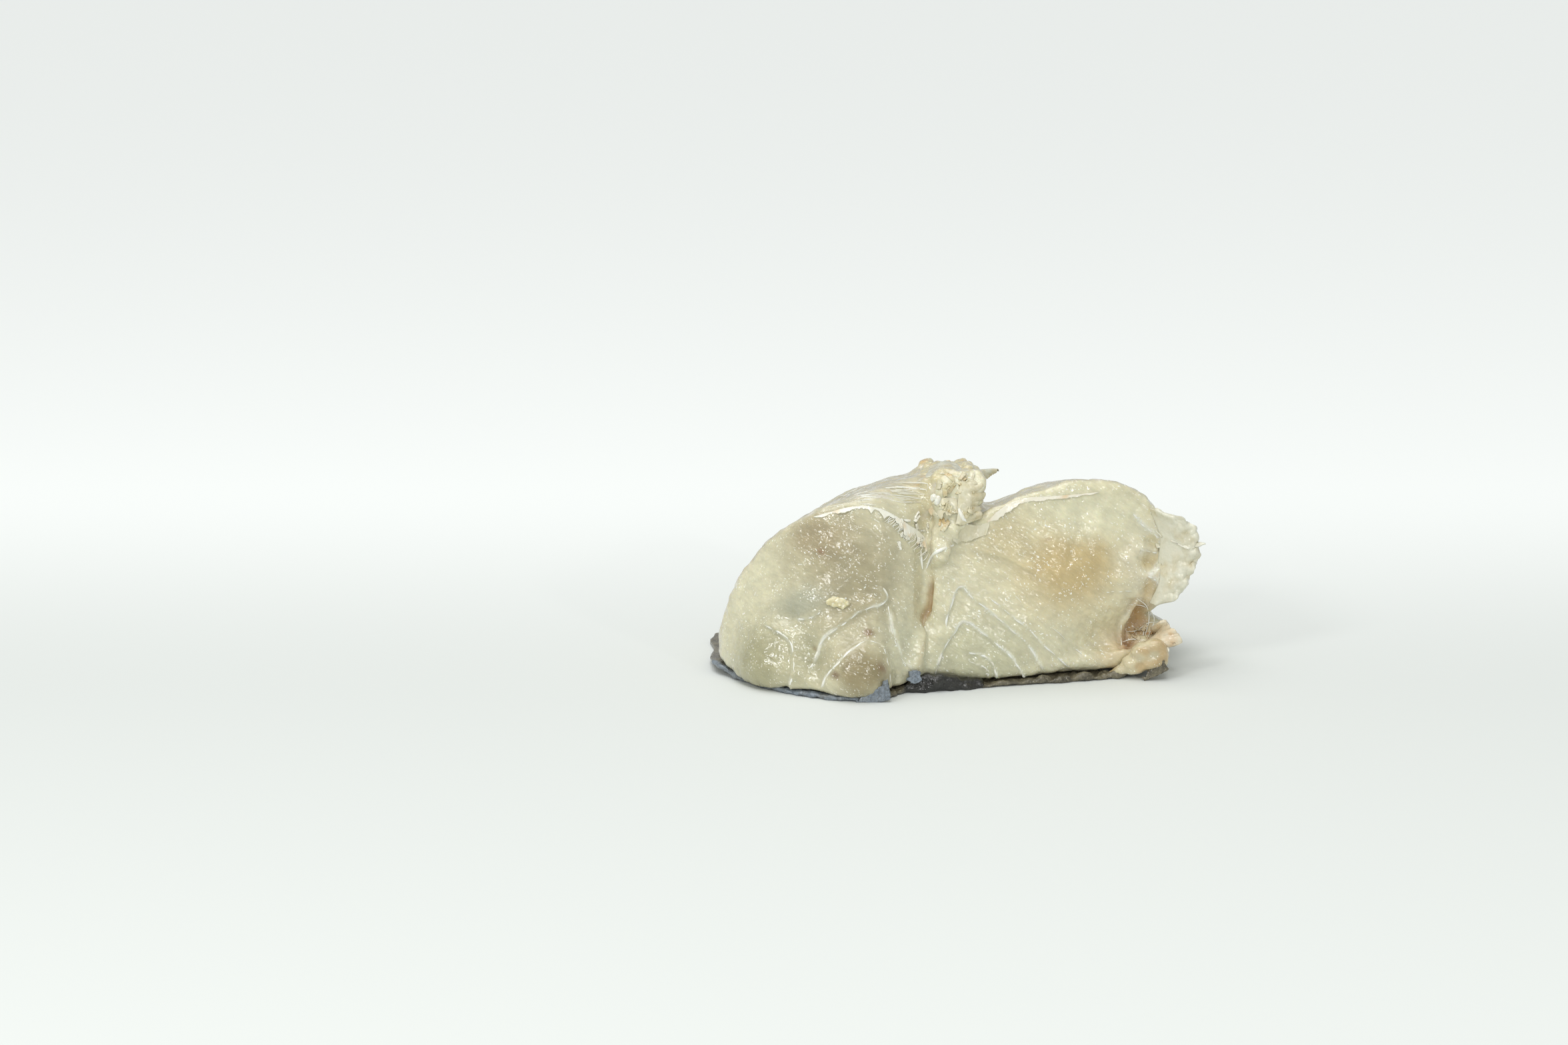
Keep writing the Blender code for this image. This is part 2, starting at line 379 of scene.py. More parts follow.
def voxelled(mesh: bpy.types.Mesh, size: float) -> bpy.types.Mesh:
    """Fuses all the closed shapes of a mesh into one even surface.

    Args:
        mesh: The shapes. It is removed.
        size: The new surface's grid step, in metres.

    Returns:
        The new mesh.
    """
    obj = bpy.data.objects.new("fused", mesh)
    bpy.context.scene.collection.objects.link(obj)
    remesh = obj.modifiers.new("voxels", "REMESH")
    remesh.mode = "VOXEL"
    remesh.voxel_size = size
    graph = bpy.context.evaluated_depsgraph_get()
    made = bpy.data.meshes.new_from_object(obj.evaluated_get(graph), depsgraph=graph)
    bpy.data.objects.remove(obj)
    bpy.data.meshes.remove(mesh)
    return made


def add_lump(
    bm: bmesh.types.BMesh, centre: Vector, radii: Vector, turn: float, seed: float, detail: int = 3
) -> None:
    """Adds a rounded, uneven lump to a bmesh.

    Args:
        bm: What it is added to.
        centre: The lump's middle.
        radii: Its half sizes across, along and up.
        turn: How far it is turned about Y, in degrees.
        seed: Gives another shape for another number.
        detail: How finely it is divided.
    """
    made = bmesh.ops.create_icosphere(bm, subdivisions=detail, radius=1)["verts"]
    for vert in made:
        vert.co *= 1 + 0.22 * noise.noise(vert.co * 1.5 + Vector((seed, seed * 2, 0)))
    bmesh.ops.scale(bm, vec=radii, verts=made)
    bmesh.ops.rotate(bm, matrix=Matrix.Rotation(math.radians(turn), 3, "Y"), verts=made)
    bmesh.ops.translate(bm, vec=centre, verts=made)


@dataclass(frozen=True)
class Seam:
    """The white seam between two flakes, drawn as a short row of places on the cut face."""

    spots: tuple[Point2, ...]
    step: float = 0.55
    white: float = 1.0
    width: float = 0.55
    fade: float = 3.0

    def curve(self) -> np.ndarray:
        """The seam as a smooth line, one drawing place a row."""
        ends = [Vector((across, up, 0)) for across, up in self.spots]
        return np.array([(p.x, p.y) for p in smooth_path(ends, 8 * len(ends))])

    def distance(self, drawn: np.ndarray) -> tuple[np.ndarray, np.ndarray]:
        """Measures how far drawing places are from the seam.

        Args:
            drawn: The drawing places, one row each.

        Returns:
            The distance with its sign (above is positive), and the share along the seam.
        """
        line = self.curve()
        best = np.full(len(drawn), 1e9)
        signed = np.full(len(drawn), 1e9)
        along = np.zeros(len(drawn))
        for k in range(len(line) - 1):
            a, way = line[k], line[k + 1] - line[k]
            reach = way @ way + 1e-12
            t = np.clip(((drawn - a) @ way) / reach, 0, 1)
            away = drawn - a - t[:, None] * way
            far = np.hypot(away[:, 0], away[:, 1])
            side = way[0] * (drawn[:, 1] - a[1]) - way[1] * (drawn[:, 0] - a[0])
            nearer = far < best
            best = np.where(nearer, far, best)
            signed = np.where(nearer, np.sign(side) * far, signed)
            along = np.where(nearer, (k + t) / (len(line) - 1), along)
        return signed, along


@dataclass(frozen=True)
class Swell:
    """A soft rise, or a hollow, of the near cut face."""

    spot: Point2
    size: Point2
    height: float
    turn: float = 0.0

    def share(self, drawn: np.ndarray) -> np.ndarray:
        """1 at the rise's middle and 0 outside it."""
        turn = math.radians(self.turn)
        away = drawn - np.array(self.spot)
        one = (away[:, 0] * math.cos(turn) + away[:, 1] * math.sin(turn)) / self.size[0]
        two = (away[:, 1] * math.cos(turn) - away[:, 0] * math.sin(turn)) / self.size[1]
        return np.exp(-(one**2 + two**2))


@dataclass(frozen=True)
class Tint:
    """A patch of another colour on the near cut face."""

    spot: Point2
    size: Point2
    colour: Colour
    strength: float = 1.0
    turn: float = 0.0

    def share(self, drawn: np.ndarray) -> np.ndarray:
        """How much of the patch's colour each drawing place takes."""
        away = Swell(self.spot, self.size, 1.0, self.turn).share(drawn)
        return self.strength * np.clip(away * 1.25, 0, 1)


class Nodes:
    """Short ways to add and join the nodes of one material."""

    def __init__(self, name: str) -> None:
        """Starts a material with its shader."""
        self.material = bpy.data.materials.new(name)
        self.material.use_nodes = True
        self.tree = self.material.node_tree
        self.shader = self.tree.nodes["Principled BSDF"]
        self.object = self.add("ShaderNodeTexCoord").outputs["Object"]

    def add(self, kind: str, **settings: object) -> bpy.types.Node:
        """Adds a node and gives it its settings."""
        node = self.tree.nodes.new(kind)
        for key, value in settings.items():
            setattr(node, key, value)
        return node

    def join(self, source: bpy.types.NodeSocket, target: bpy.types.NodeSocket) -> None:
        """Joins an output to an input."""
        self.tree.links.new(source, target)

    def stored(self, name: str, colour: bool = False) -> bpy.types.NodeSocket:
        """Reads a number or a colour that the mesh stores for each vertex."""
        node = self.add("ShaderNodeAttribute", attribute_name=name)
        return node.outputs["Color" if colour else "Fac"]

    def mapped(self, drawn_out: tuple[float, float, float], turn: float = 0.0) -> bpy.types.NodeSocket:
        """Object coordinates turned about Y by turn degrees, for a pattern drawn out along them."""
        node = self.add("ShaderNodeMapping", vector_type="TEXTURE")
        node.inputs["Scale"].default_value = drawn_out
        node.inputs["Rotation"].default_value = (0, math.radians(turn), 0)
        self.join(self.object, node.inputs["Vector"])
        return node.outputs["Vector"]

    def grain(
        self, where: bpy.types.NodeSocket, scale: float, detail: float = 2.0, rough: float = 0.5
    ) -> bpy.types.NodeSocket:
        """A soft random pattern from 0 to 1."""
        node = self.add("ShaderNodeTexNoise")
        node.inputs["Scale"].default_value = scale
        node.inputs["Detail"].default_value = detail
        node.inputs["Roughness"].default_value = rough
        self.join(where, node.inputs["Vector"])
        return node.outputs["Fac"]

    def cells(self, where: bpy.types.NodeSocket, scale: float) -> bpy.types.NodeSocket:
        """The distance to the nearest of many scattered points."""
        node = self.add("ShaderNodeTexVoronoi")
        node.inputs["Scale"].default_value = scale
        self.join(where, node.inputs["Vector"])
        return node.outputs["Distance"]

    def maths(
        self, kind: str, first: bpy.types.NodeSocket, second: bpy.types.NodeSocket | float
    ) -> bpy.types.NodeSocket:
        """Adds, multiplies or otherwise combines two numbers."""
        node = self.add("ShaderNodeMath", operation=kind)
        self.join(first, node.inputs[0])
        if isinstance(second, (int, float)):
            node.inputs[1].default_value = second
        else:
            self.join(second, node.inputs[1])
        return node.outputs[0]

    def span(
        self, value: bpy.types.NodeSocket, low: float, high: float, to_low: float, to_high: float
    ) -> bpy.types.NodeSocket:
        """Moves a number from one range to another, held inside it."""
        node = self.add("ShaderNodeMapRange", interpolation_type="SMOOTHSTEP")
        for key, number in (
            ("From Min", low),
            ("From Max", high),
            ("To Min", to_low),
            ("To Max", to_high),
        ):
            node.inputs[key].default_value = number
        self.join(value, node.inputs["Value"])
        return node.outputs["Result"]

    def blend(
        self,
        share: bpy.types.NodeSocket,
        first: bpy.types.NodeSocket | Colour,
        second: bpy.types.NodeSocket | Colour,
        kind: str = "MIX",
    ) -> bpy.types.NodeSocket:
        """Blends two colours by a share from 0 to 1."""
        node = self.add("ShaderNodeMix", data_type="RGBA", blend_type=kind)
        self.join(share, node.inputs["Factor"])
        for socket, value in ((node.inputs[6], first), (node.inputs[7], second)):
            if isinstance(value, tuple):
                socket.default_value = (*value, 1)
            else:
                self.join(value, socket)
        return node.outputs[2]

    def relief(
        self, layers: Sequence[tuple[bpy.types.NodeSocket, float, float]], wet_layers: int = 1
    ) -> None:
        """Adds fine relief in layers of (height, distance in metres, strength).

        Args:
            layers: The layers, the broadest first.
            wet_layers: How many of them the film of water on top follows.
        """
        last = None
        for height, distance, strength in layers:
            node = self.add("ShaderNodeBump")
            node.inputs["Distance"].default_value = distance
            node.inputs["Strength"].default_value = strength
            self.join(height, node.inputs["Height"])
            if last is not None:
                self.join(last, node.inputs["Normal"])
            last = node.outputs["Normal"]
            wet_layers -= 1
            if wet_layers == 0:
                self.join(last, self.shader.inputs["Coat Normal"])
        self.join(last, self.shader.inputs["Normal"])

    def fixed(self, **values: object) -> None:
        """Sets the shader's constant sockets, with _ for each space in a name."""
        for key, value in values.items():
            self.shader.inputs[key.replace("_", " ")].default_value = value


@dataclass(frozen=True)
class FleshFinish:
    """Wet, slightly see-through muscle, its colour stored for each vertex, with painted glints of light in
    its base colour.
    """

    soak: float = 0.3
    soak_depth: float = 2.6 * MM
    wetness: float = 1.0
    streaks: float = 0.05

    def made(self) -> bpy.types.Material:
        """Builds the material.

        Returns:
            The material.
        """
        n = Nodes("wet_cod_flesh")
        seam = n.stored("seam")
        tint = n.stored("tint", colour=True)
        right = n.grain(n.mapped((5, 2, 1), 36), 900, 3, 0.65)
        left = n.grain(n.mapped((5, 2, 1), 16), 900, 3, 0.65)
        place = n.add("ShaderNodeSeparateXYZ")
        n.join(n.object, place.inputs[0])
        side = n.span(place.outputs["X"], -14 * MM, -6 * MM, 0, 1)
        grains = n.maths("ADD", left, n.maths("MULTIPLY", n.maths("SUBTRACT", right, left), side))
        cloud = n.grain(n.mapped((1.6, 1, 1), 25), 260, 5, 0.62)
        light = n.span(grains, 0.3, 0.7, 1 - self.streaks, 1 + self.streaks)
        patch = n.span(cloud, 0.3, 0.7, 0.90, 1.06)
        shade = n.add("ShaderNodeMix", data_type="RGBA", blend_type="MULTIPLY")
        shade.inputs["Factor"].default_value = 1.0
        n.join(tint, shade.inputs[6])
        n.join(n.maths("MULTIPLY", light, patch), shade.inputs[7])
        line = n.span(seam, 0.15, 0.9, 0.0, 0.75)
        base = n.blend(line, shade.outputs[2], linear(238, 238, 224))
        # Painted glints: tiny near-white specks in the base colour, gathered in patches, stand in for the
        # sparkle of light on the wet surface.
        painted_glints = n.span(n.grain(n.mapped((1.8, 1, 1), 30), 2000, 1, 0.5), 0.635, 0.70, 0.0, 0.9)
        glint_patches = n.span(n.grain(n.mapped((1, 1, 1)), 150, 3, 0.6), 0.42, 0.62, 0.1, 1.0)
        base = n.blend(n.maths("MULTIPLY", painted_glints, glint_patches), base, linear(252, 252, 244))
        n.join(base, n.shader.inputs["Base Color"])
        n.join(n.span(cloud, 0.3, 0.7, 0.30, 0.46), n.shader.inputs["Roughness"])
        n.fixed(
            Subsurface_Weight=self.soak,
            Subsurface_Radius=(1.0, 0.72, 0.42),
            Subsurface_Scale=self.soak_depth,
            IOR=1.38,
            Coat_Weight=self.wetness,
            Coat_Roughness=0.09,
            Coat_IOR=1.5,
        )
        beads = n.grain(n.mapped((2, 1, 1), 30), 800, 1, 0.5)
        n.relief(
            [
                (cloud, 0.8 * MM, 0.4),
                (beads, 0.34 * MM, 0.75),
                (grains, 0.3 * MM, 0.35),
                (line, 0.3 * MM, 0.5),
            ],
            wet_layers=2,
        )
        return n.material


@dataclass(frozen=True)
class MembraneFinish:
    """Thin, wet, see-through tissue."""

    colour: Colour = linear(228, 225, 206)

    def made(self) -> bpy.types.Material:
        """Builds the material.

        Returns:
            The material.
        """
        n = Nodes("torn_membrane")
        tint = n.stored("tint", colour=True)
        cloud = n.grain(n.mapped((1, 1, 1)), 320, 3, 0.6)
        fine = n.grain(n.mapped((0.5, 1, 1)), 1100, 2, 0.6)
        n.join(n.blend(n.span(cloud, 0.35, 0.65, 0.0, 0.5), tint, self.colour), n.shader.inputs["Base Color"])
        n.join(n.span(cloud, 0.3, 0.7, 0.22, 0.38), n.shader.inputs["Roughness"])
        n.fixed(
            Subsurface_Weight=0.12,
            Subsurface_Radius=(1.0, 0.85, 0.65),
            Subsurface_Scale=0.4 * MM,
            IOR=1.38,
            Coat_Weight=0.6,
            Coat_Roughness=0.08,
        )
        n.relief([(cloud, 0.5 * MM, 0.5), (fine, 0.15 * MM, 0.5)])
        return n.material


@dataclass(frozen=True)
class SkinFinish:
    """Damp fish skin: dark, fine-grained, with pale specks and a blue-grey inner side."""

    dark: Colour = linear(72, 67, 53)
    brown: Colour = linear(116, 109, 88)
    speck: Colour = linear(150, 143, 118)
    blue: Colour = linear(134, 146, 158)

    def made(self) -> bpy.types.Material:
        """Builds the material.

        Returns:
            The material.
        """
        n = Nodes("damp_cod_skin")
        inner = n.stored("inner")
        gloss = n.stored("gloss")
        cells = n.cells(n.mapped((1, 1, 1)), 1100)
        cloud = n.grain(n.mapped((1, 1, 1)), 260, 4, 0.65)
        fine = n.grain(n.mapped((1, 1, 1)), 1400, 3, 0.7)
        mottled = n.blend(n.span(cloud, 0.35, 0.65, 0, 1), self.dark, self.brown)
        mottled = n.blend(n.span(fine, 0.56, 0.68, 0, 0.75), mottled, self.speck)
        blued = n.blend(n.span(fine, 0.4, 0.7, 0, 1), self.blue, linear(92, 102, 112))
        mottled = n.blend(n.span(gloss, 0.2, 0.9, 0, 0.95), mottled, linear(24, 24, 22))
        n.join(n.blend(inner, mottled, blued), n.shader.inputs["Base Color"])
        n.join(n.span(gloss, 0, 1, 0.52, 0.16), n.shader.inputs["Roughness"])
        n.fixed(IOR=1.42, Coat_Weight=0.7, Coat_Roughness=0.12)
        n.relief([(cloud, 0.8 * MM, 0.6), (cells, 0.35 * MM, 0.8), (fine, 0.25 * MM, 0.8)])
        return n.material


MIDLINE = Seam(((-7.9, 40.0), (-8.6, 33.0), (-10.4, 25.3), (-11.4, 19.3), (-12.9, 10.3), (-13.4, 6.0)))
SEAMS: tuple[Seam, ...] = (
    Seam(((2, 15.3), (7, 14.3), (10.5, 11.3), (12.3, 5.4)), 0.5, 1.0, 0.5),
    Seam(((2.5, 13.0), (8, 10.3), (8.7, 5.4)), 0.2, 0.7, 0.35),
    Seam(((-8, 5.4), (-6, 13.3), (-3, 19.3), (1, 24.3), (7, 21.3), (13.9, 15.3), (18.9, 9.4), (20, 4.4))),
    Seam(
        ((-4.5, 21), (-3, 28.3), (0.5, 34.8), (5, 31.2), (10, 27.3), (16.9, 21.3), (22.9, 15.3), (27, 7.4)),
        0.8,
        1.0,
        0.5,
    ),
    Seam(((8, 33.0), (14.9, 27.3), (21.9, 21.3), (27.9, 15.3), (35.5, 9.0)), 0.5, 0.8, 0.4),
    Seam(((16, 33.0), (24, 26), (32, 19), (41, 11.5)), 0.25, 0.35, 0.35),
    Seam(((1, 47.2), (9, 44.7), (17.9, 41.7), (26, 36)), 0.45, 0.12, 0.5),
    Seam(
        (
            (-23.9, 35.4), (-21.4, 32.6), (-21.9, 30.4), (-27.9, 28.3),
            (-34.8, 23.3), (-40.8, 18.3), (-45, 10),
        ),
        -0.8,
    ),
    Seam(((-41.2, 3.4), (-37.8, 9.4), (-32.8, 15.3), (-27.2, 18.6)), -0.7, 1.0, 0.6, 4.0),
    Seam(((-27.2, 18.6), (-23, 16.6), (-21, 11), (-20.6, 4)), -0.7, 0.6, 0.4, 4.0),
    Seam(((-21.4, 30.2), (-20.4, 23.3), (-17.9, 15.3), (-13.9, 9.3)), 0.45, 0.8, 0.4),
    Seam(((-48.8, 25.3), (-44.8, 25.2), (-40.5, 28.6)), 0.4, 0.9, 0.5),
    Seam(((-58.5, 23.8), (-51.5, 20.0), (-49.4, 12.3), (-50.9, 3.4)), 0.7, 0.8, 0.6, 4.0),
    Seam(((51.9, 56.5), (55.9, 53.0), (58.9, 50.5), (61.7, 46.3)), 1.0, 1.0, 0.6),
    Seam(((53.6, 46.4), (57.0, 45.4), (60.8, 44.9)), 0.8, 0.9, 0.5),
    Seam(((61.8, 46.3), (60.6, 41.5), (58.6, 39.2), (56.0, 38.4)), 0.9, 1.0, 0.6),
    Seam(((56.0, 38.4), (59.6, 36.8), (60.8, 33.6), (60.0, 30.5)), 0.8, 1.0, 0.6),
    Seam(((53.6, 31.2), (51.9, 26.4), (49.2, 23.4), (48.4, 19.4), (48.6, 15)), 1.2, 0.5, 0.4),
    Seam(((43.8, 33.3), (48.0, 33.2), (52.0, 33.4)), 0.15, 0.6, 0.3),
)
SWELLS: tuple[Swell, ...] = (
    Swell((-58.5, 12), (8.5, 10.5), 4.2),
    Swell((-30, 9), (8.5, 9), 3.4),
    Swell((-17, 19), (3.6, 9), 0.9),
    Swell((-46, 31), (8.5, 4.6), 1.6, 15),
    Swell((-50.2, 26.2), (3.2, 1.8), -1.5, 20),
    Swell((-30, 46), (13, 11), 1.2),
    Swell((-45, 14), (4, 6), -1.9),
    Swell((-38, 24), (6, 3.5), 0.9, 30),
    Swell((4, 9), (5, 6), 1.0),
    Swell((14, 14), (8, 5), 0.8, -40),
    Swell((33, 40), (16, 13), 0.8),
    Swell((51.8, 19.4), (3.2, 2.8), -6.0, 30),
    Swell((54.6, 25.5), (3.2, 5.0), -4.5, -12),
    Swell((57.6, 42.2), (3.4, 2.4), -1.9, 8),
    Swell((58.2, 48.0), (3.2, 1.8), -1.5, -30),
    Swell((57.8, 34.4), (2.6, 2.6), -1.4, 10),
    Swell((53.0, 40.0), (4.0, 9.0), 0.7, 5),
)
TINTS: tuple[Tint, ...] = (
    Tint((-33, 38), (17, 18), linear(171, 162, 130)),
    Tint((-42, 50), (9, 7), linear(166, 151, 118), 0.8),
    Tint((-58, 13), (9, 11), linear(164, 160, 126), 0.95),
    Tint((-44, 14), (5, 8), linear(158, 155, 122), 0.7),
    Tint((-29.5, 9), (8, 8), linear(152, 140, 104), 1.0),
    Tint((-17, 19), (4, 9), linear(202, 200, 172), 0.8),
    Tint((-47, 30), (8, 4), linear(176, 176, 154), 0.8, 20),
    Tint((33, 41), (15, 13), linear(199, 178, 128), 0.95),
    Tint((15, 50), (12, 7), linear(198, 184, 142), 0.7, 25),
    Tint((6, 13), (15, 12), linear(190, 188, 157), 0.9),
    Tint((60, 42), (8, 14), linear(222, 216, 194), 0.9),
    Tint((40, 62), (16, 5), linear(211, 205, 172), 0.8, -5),
    Tint((38, 57), (16, 7), linear(226, 222, 190), 0.9, -5),
    Tint((46, 16), (5, 6), linear(206, 184, 144), 0.6),
    Tint((57.6, 42.2), (3.2, 2.4), linear(208, 192, 148), 0.9, 8),
    Tint((58.2, 48.0), (3.0, 1.6), linear(212, 200, 158), 0.8, -30),
    Tint((57.8, 34.2), (2.8, 2.8), linear(206, 186, 142), 0.9),
    Tint((54.8, 25.5), (3.4, 5.2), linear(200, 170, 124), 1.0, -12),
    Tint((51.6, 19.2), (3.0, 2.6), linear(176, 120, 66), 1.0, 30),
    Tint((-26.4, 21.8), (1.6, 1.1), linear(128, 96, 64), 0.8),
    Tint((-37.3, 7.4), (1.3, 1.0), linear(122, 92, 60), 0.8),
    Tint((-24.5, 10), (1.0, 1.6), linear(126, 96, 66), 0.7),
    Tint((-41.8, 44.7), (1.2, 0.8), linear(150, 110, 80), 0.7),
    Tint((-42.8, 16.8), (1.1, 0.8), linear(130, 110, 74), 0.6),
    Tint((26.5, 49.0), (1.0, 0.5), linear(160, 134, 90), 0.6),
)


@dataclass
class Loins:
    """Both back loins in one closed skin of muscle, with the torn ridge between them."""

    coarse: float = 1.15 * MM
    fine: float = 0.78 * MM
    base: Colour = linear(219, 214, 183)
    outside: Colour = linear(203, 196, 165)
    ridge: Colour = linear(210, 200, 160)
    stain: Colour = linear(214, 178, 118)
    cleft: Colour = linear(176, 142, 92)
    silver: Colour = linear(226, 220, 212)
    front_lumps: int = 120
    filling_lumps: int = 150
    foot_lumps: int = 14
    crest_lumps: int = 80
    ridge_share: np.ndarray = field(init=False)

    def shaped(self) -> bpy.types.Mesh:
        """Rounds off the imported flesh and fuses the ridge's lumps with it.

        Returns:
            An even surface in place.
        """
        bm = bmesh.new()
        bm.from_mesh(frame["nodes"]["flesh"].data)
        bmesh.ops.remove_doubles(bm, verts=bm.verts[:], dist=0.001 * MM)
        mesh = bpy.data.meshes.new("flesh_copy")
        bm.to_mesh(mesh)
        bm.free()
        mesh = voxelled(mesh, self.coarse)
        places = self.without_flake(coordinates(mesh))
        places = relaxed(places, edge_ends(mesh), 14)
        put(mesh, places)
        solid = Solid(mesh)
        bm = bmesh.new()
        bm.from_mesh(mesh)
        bpy.data.meshes.remove(mesh)
        self.add_ridge(bm, solid)
        whole = bpy.data.meshes.new("fused_flesh")
        bm.to_mesh(whole)
        bm.free()
        return voxelled(whole, self.fine)

    def without_flake(self, places: np.ndarray) -> np.ndarray:
        """Draws the torn outer flake back to the loin's side, as sheets of tissue stand for it."""
        across, height = places[:, 0] + CUT.shift[0], places[:, 2]
        reach = np.clip(height / (61 * MM), 0, 0.999)
        limit = (42 + 33 * (1 - reach**2.5) ** 0.4) * MM
        moved = places.copy()
        flake = (across > limit) & (height > 22 * MM)
        moved[flake, 0] = limit[flake] - CUT.shift[0]
        return moved

    def add_ridge(self, bm: bmesh.types.BMesh, solid: Solid) -> None:
        """Adds the lumps of torn tissue where the backbone was cut out, and those along the foot.

        Args:
            bm: What the lumps are added to.
            solid: The flesh that they grow on.
        """
        self.add_front_lumps(bm, solid)
        self.add_filling(bm, solid)
        self.add_foot(bm)
        self.add_crest(bm, solid)

    def add_front_lumps(self, bm: bmesh.types.BMesh, solid: Solid) -> None:
        """Adds the small lumps on the near end of the ridge."""
        for k in range(self.front_lumps):
            share = (k * GOLDEN) % 1.0
            level = (k * PLASTIC) % 1.0
            across = -9.0 + 16.0 * share + 1.5 * math.sin(k * 2.3)
            up = 44.0 + 26.0 * level
            if across > 3.5 and up > 50 or up < 56 and abs(across + 5.5) > 0.3 * (up - 42):
                continue
            size = (1.1 + 1.5 * ((k * PLASTIC_FIFTH) % 1.0)) * MM
            centre = solid.seen((across, up), -0.2 * size)
            radii = Vector((size * 0.9, size, size * (1.1 + 0.7 * math.sin(k) ** 2)))
            add_lump(bm, centre, radii, 40 * math.sin(k * 1.7), k * 0.37, 2)

    def add_filling(self, bm: bmesh.types.BMesh, solid: Solid) -> None:
        """Fills the notch between the loins, wide at the top and narrow at the midline."""
        for k in range(self.filling_lumps):
            share, level = (k * GOLDEN) % 1.0, ((k * PLASTIC) % 1.0) ** 0.8
            middle = -7.0 + 6.5 * math.sin(level * math.pi / 2)
            half = 0.8 + 6.6 * level
            spot = (middle + half * (2 * share - 1), 42.0 + 26.0 * level)
            size = (1.3 + 1.6 * ((k * PLASTIC_FIFTH) % 1.0)) * (0.6 + 0.4 * level) * MM
            centre = solid.behind(spot, (21.5 + 11 * level + 2 * math.sin(k * 4.1)) * MM)
            add_lump(bm, centre, Vector((size, size * 1.8, size * 1.5)), 50 * math.sin(k * 1.3), k * 0.29, 2)

    def add_foot(self, bm: bmesh.types.BMesh) -> None:
        """Adds a row of lumps where the right loin rests on its skin."""
        for k in range(self.foot_lumps):
            across = (26 + 2.1 * k) * MM - CUT.shift[0]
            foot = CUT.near(np.array([across]), np.array([3 * MM]))[0]
            centre = Vector((across, foot + 5 * MM, 5.4 * MM))
            add_lump(bm, centre, Vector((4, 4.6, 3.6)) * MM, 0, k * 0.7, 2)

    def add_crest(self, bm: bmesh.types.BMesh, solid: Solid) -> None:
        """Adds the lumps along the top of the ridge, back to the far face."""
        for k in range(self.crest_lumps):
            along = (14 + 56 * ((k * GOLDEN) % 1.0)) * MM
            across = (-8 + 15 * ((k * PLASTIC) % 1.0)) * MM
            top = Vector((across, along - 10 * MM, 80 * MM))
            hit = solid.tree.ray_cast(top, Vector((0, 0, -1)))[0]
            size = (1.2 + 1.6 * ((k * PLASTIC_FIFTH) % 1.0)) * MM
            if hit is not None and hit.z + size < 63.5 * MM:
                add_lump(bm, hit, Vector((size, size * 1.5, size * 0.9)), 30 * math.sin(k), k * 0.53, 2)

    def worked(self, mesh: bpy.types.Mesh) -> bpy.types.Mesh:
        """Gives the surface its swells, seams, cleft and unevenness, and stores its colours.

        Args:
            mesh: The even surface. It is changed.

        Returns:
            The same mesh.
        """
        ends = edge_ends(mesh)
        places = relaxed(coordinates(mesh), ends, 2)
        put(mesh, places)
        facing = relaxed(normals(mesh), ends, 3)
        depth = CUT.depth(places)
        near = ease(-facing[:, 1], 0.2, 0.6) * (1 - ease(depth, 7 * MM, 13 * MM))
        far = ease(facing[:, 1], 0.35, 0.7)
        flat = places.copy()
        flat[:, 1] = CUT.near(places[:, 0], places[:, 2])
        drawn = np.where(near[:, None] > 0.02, EYE.drawn(places), EYE.drawn(flat))
        cut = np.maximum(near, far * 0.9)
        self.ridge_share = self.ridge_mask(places, drawn, near)
        plain = 1 - self.ridge_share
        rise = np.zeros(len(places))
        for swell in SWELLS:
            rise += swell.height * MM * swell.share(drawn) * near
        strayed = drawn + shaken(places)
        seam_rise, seam = self.seamed(places, strayed, cut)
        rise += seam_rise
        signed, along = MIDLINE.distance(strayed)
        deep = ease(along, 0.0, 0.2) * (1 - ease(along, 0.85, 1.0)) * near
        gash = np.exp(-((signed / 0.85) ** 2))
        level = ease(drawn[:, 1], 20, 28)
        filled = 3.0 * np.exp(-((signed / 2.2) ** 2)) * (1 - level)
        rise += (filled - 1.5 * gash * level - 0.5 * gash) * MM * deep
        gash = gash * (0.25 + 0.75 * level)
        rise += 0.32 * MM * wander(places, 9 * MM, 1.0) * (0.6 + 0.4 * plain)
        rise += 0.14 * MM * wander(places, 3.0 * MM, 2.0, 2)
        rise += 0.35 * MM * wander(places, 2.6 * MM, 4.0) * self.ridge_share
        rise -= 0.7 * MM * ease(wander(places, 4.4 * MM, 14.0), 0.35, 0.9) * self.ridge_share
        top = (1 - cut) * plain
        rise += 0.22 * MM * wander(places * np.array((0.35, 1.0, 1.0)), 2.2 * MM, 6.0) * top
        places = places + facing * rise[:, None]
        places[:, 2] = np.maximum(places[:, 2], 1.2 * MM)
        put(mesh, places)
        note(mesh, "seam", seam)
        note_colour(mesh, "tint", self.painted(places, drawn, near, cut, gash * deep))
        return mesh

    def seamed(
        self, places: np.ndarray, strayed: np.ndarray, cut: np.ndarray
    ) -> tuple[np.ndarray, np.ndarray]:
        """Works out the small steps and the white of the seams between the flakes.

        Args:
            places: Where the vertices are.
            strayed: The same on the drawing plane, shaken so that the seams aren't too smooth.
            cut: How far each belongs to a cut face.

        Returns:
            How far each place rises, and how white it is from 0 to 1.
        """
        rise = np.zeros(len(places))
        seam = np.zeros(len(places))
        patchy = ease(wander(places, 5 * MM, 11.0), -0.6, 0.5)
        for line in SEAMS:
            signed, along = line.distance(strayed)
            fade = ease(along, 0.0, 0.12) * (1 - ease(along, 0.9, 1.0))
            shelf = np.tanh(signed / 0.55) * np.exp(-np.abs(signed) / line.fade)
            rise += line.step * MM * shelf * fade * cut * 0.9
            rise += 0.18 * MM * np.exp(-((signed / 0.7) ** 2)) * line.white * fade * cut
            rise += 0.10 * MM * np.sin(signed * 2.6) * np.exp(-np.abs(signed) / 5.0) * fade * cut
            white = np.exp(-((signed / line.width) ** 2)) * line.white * (0.45 + 0.55 * patchy)
            seam = np.maximum(seam, white * fade * cut)
        return rise, seam

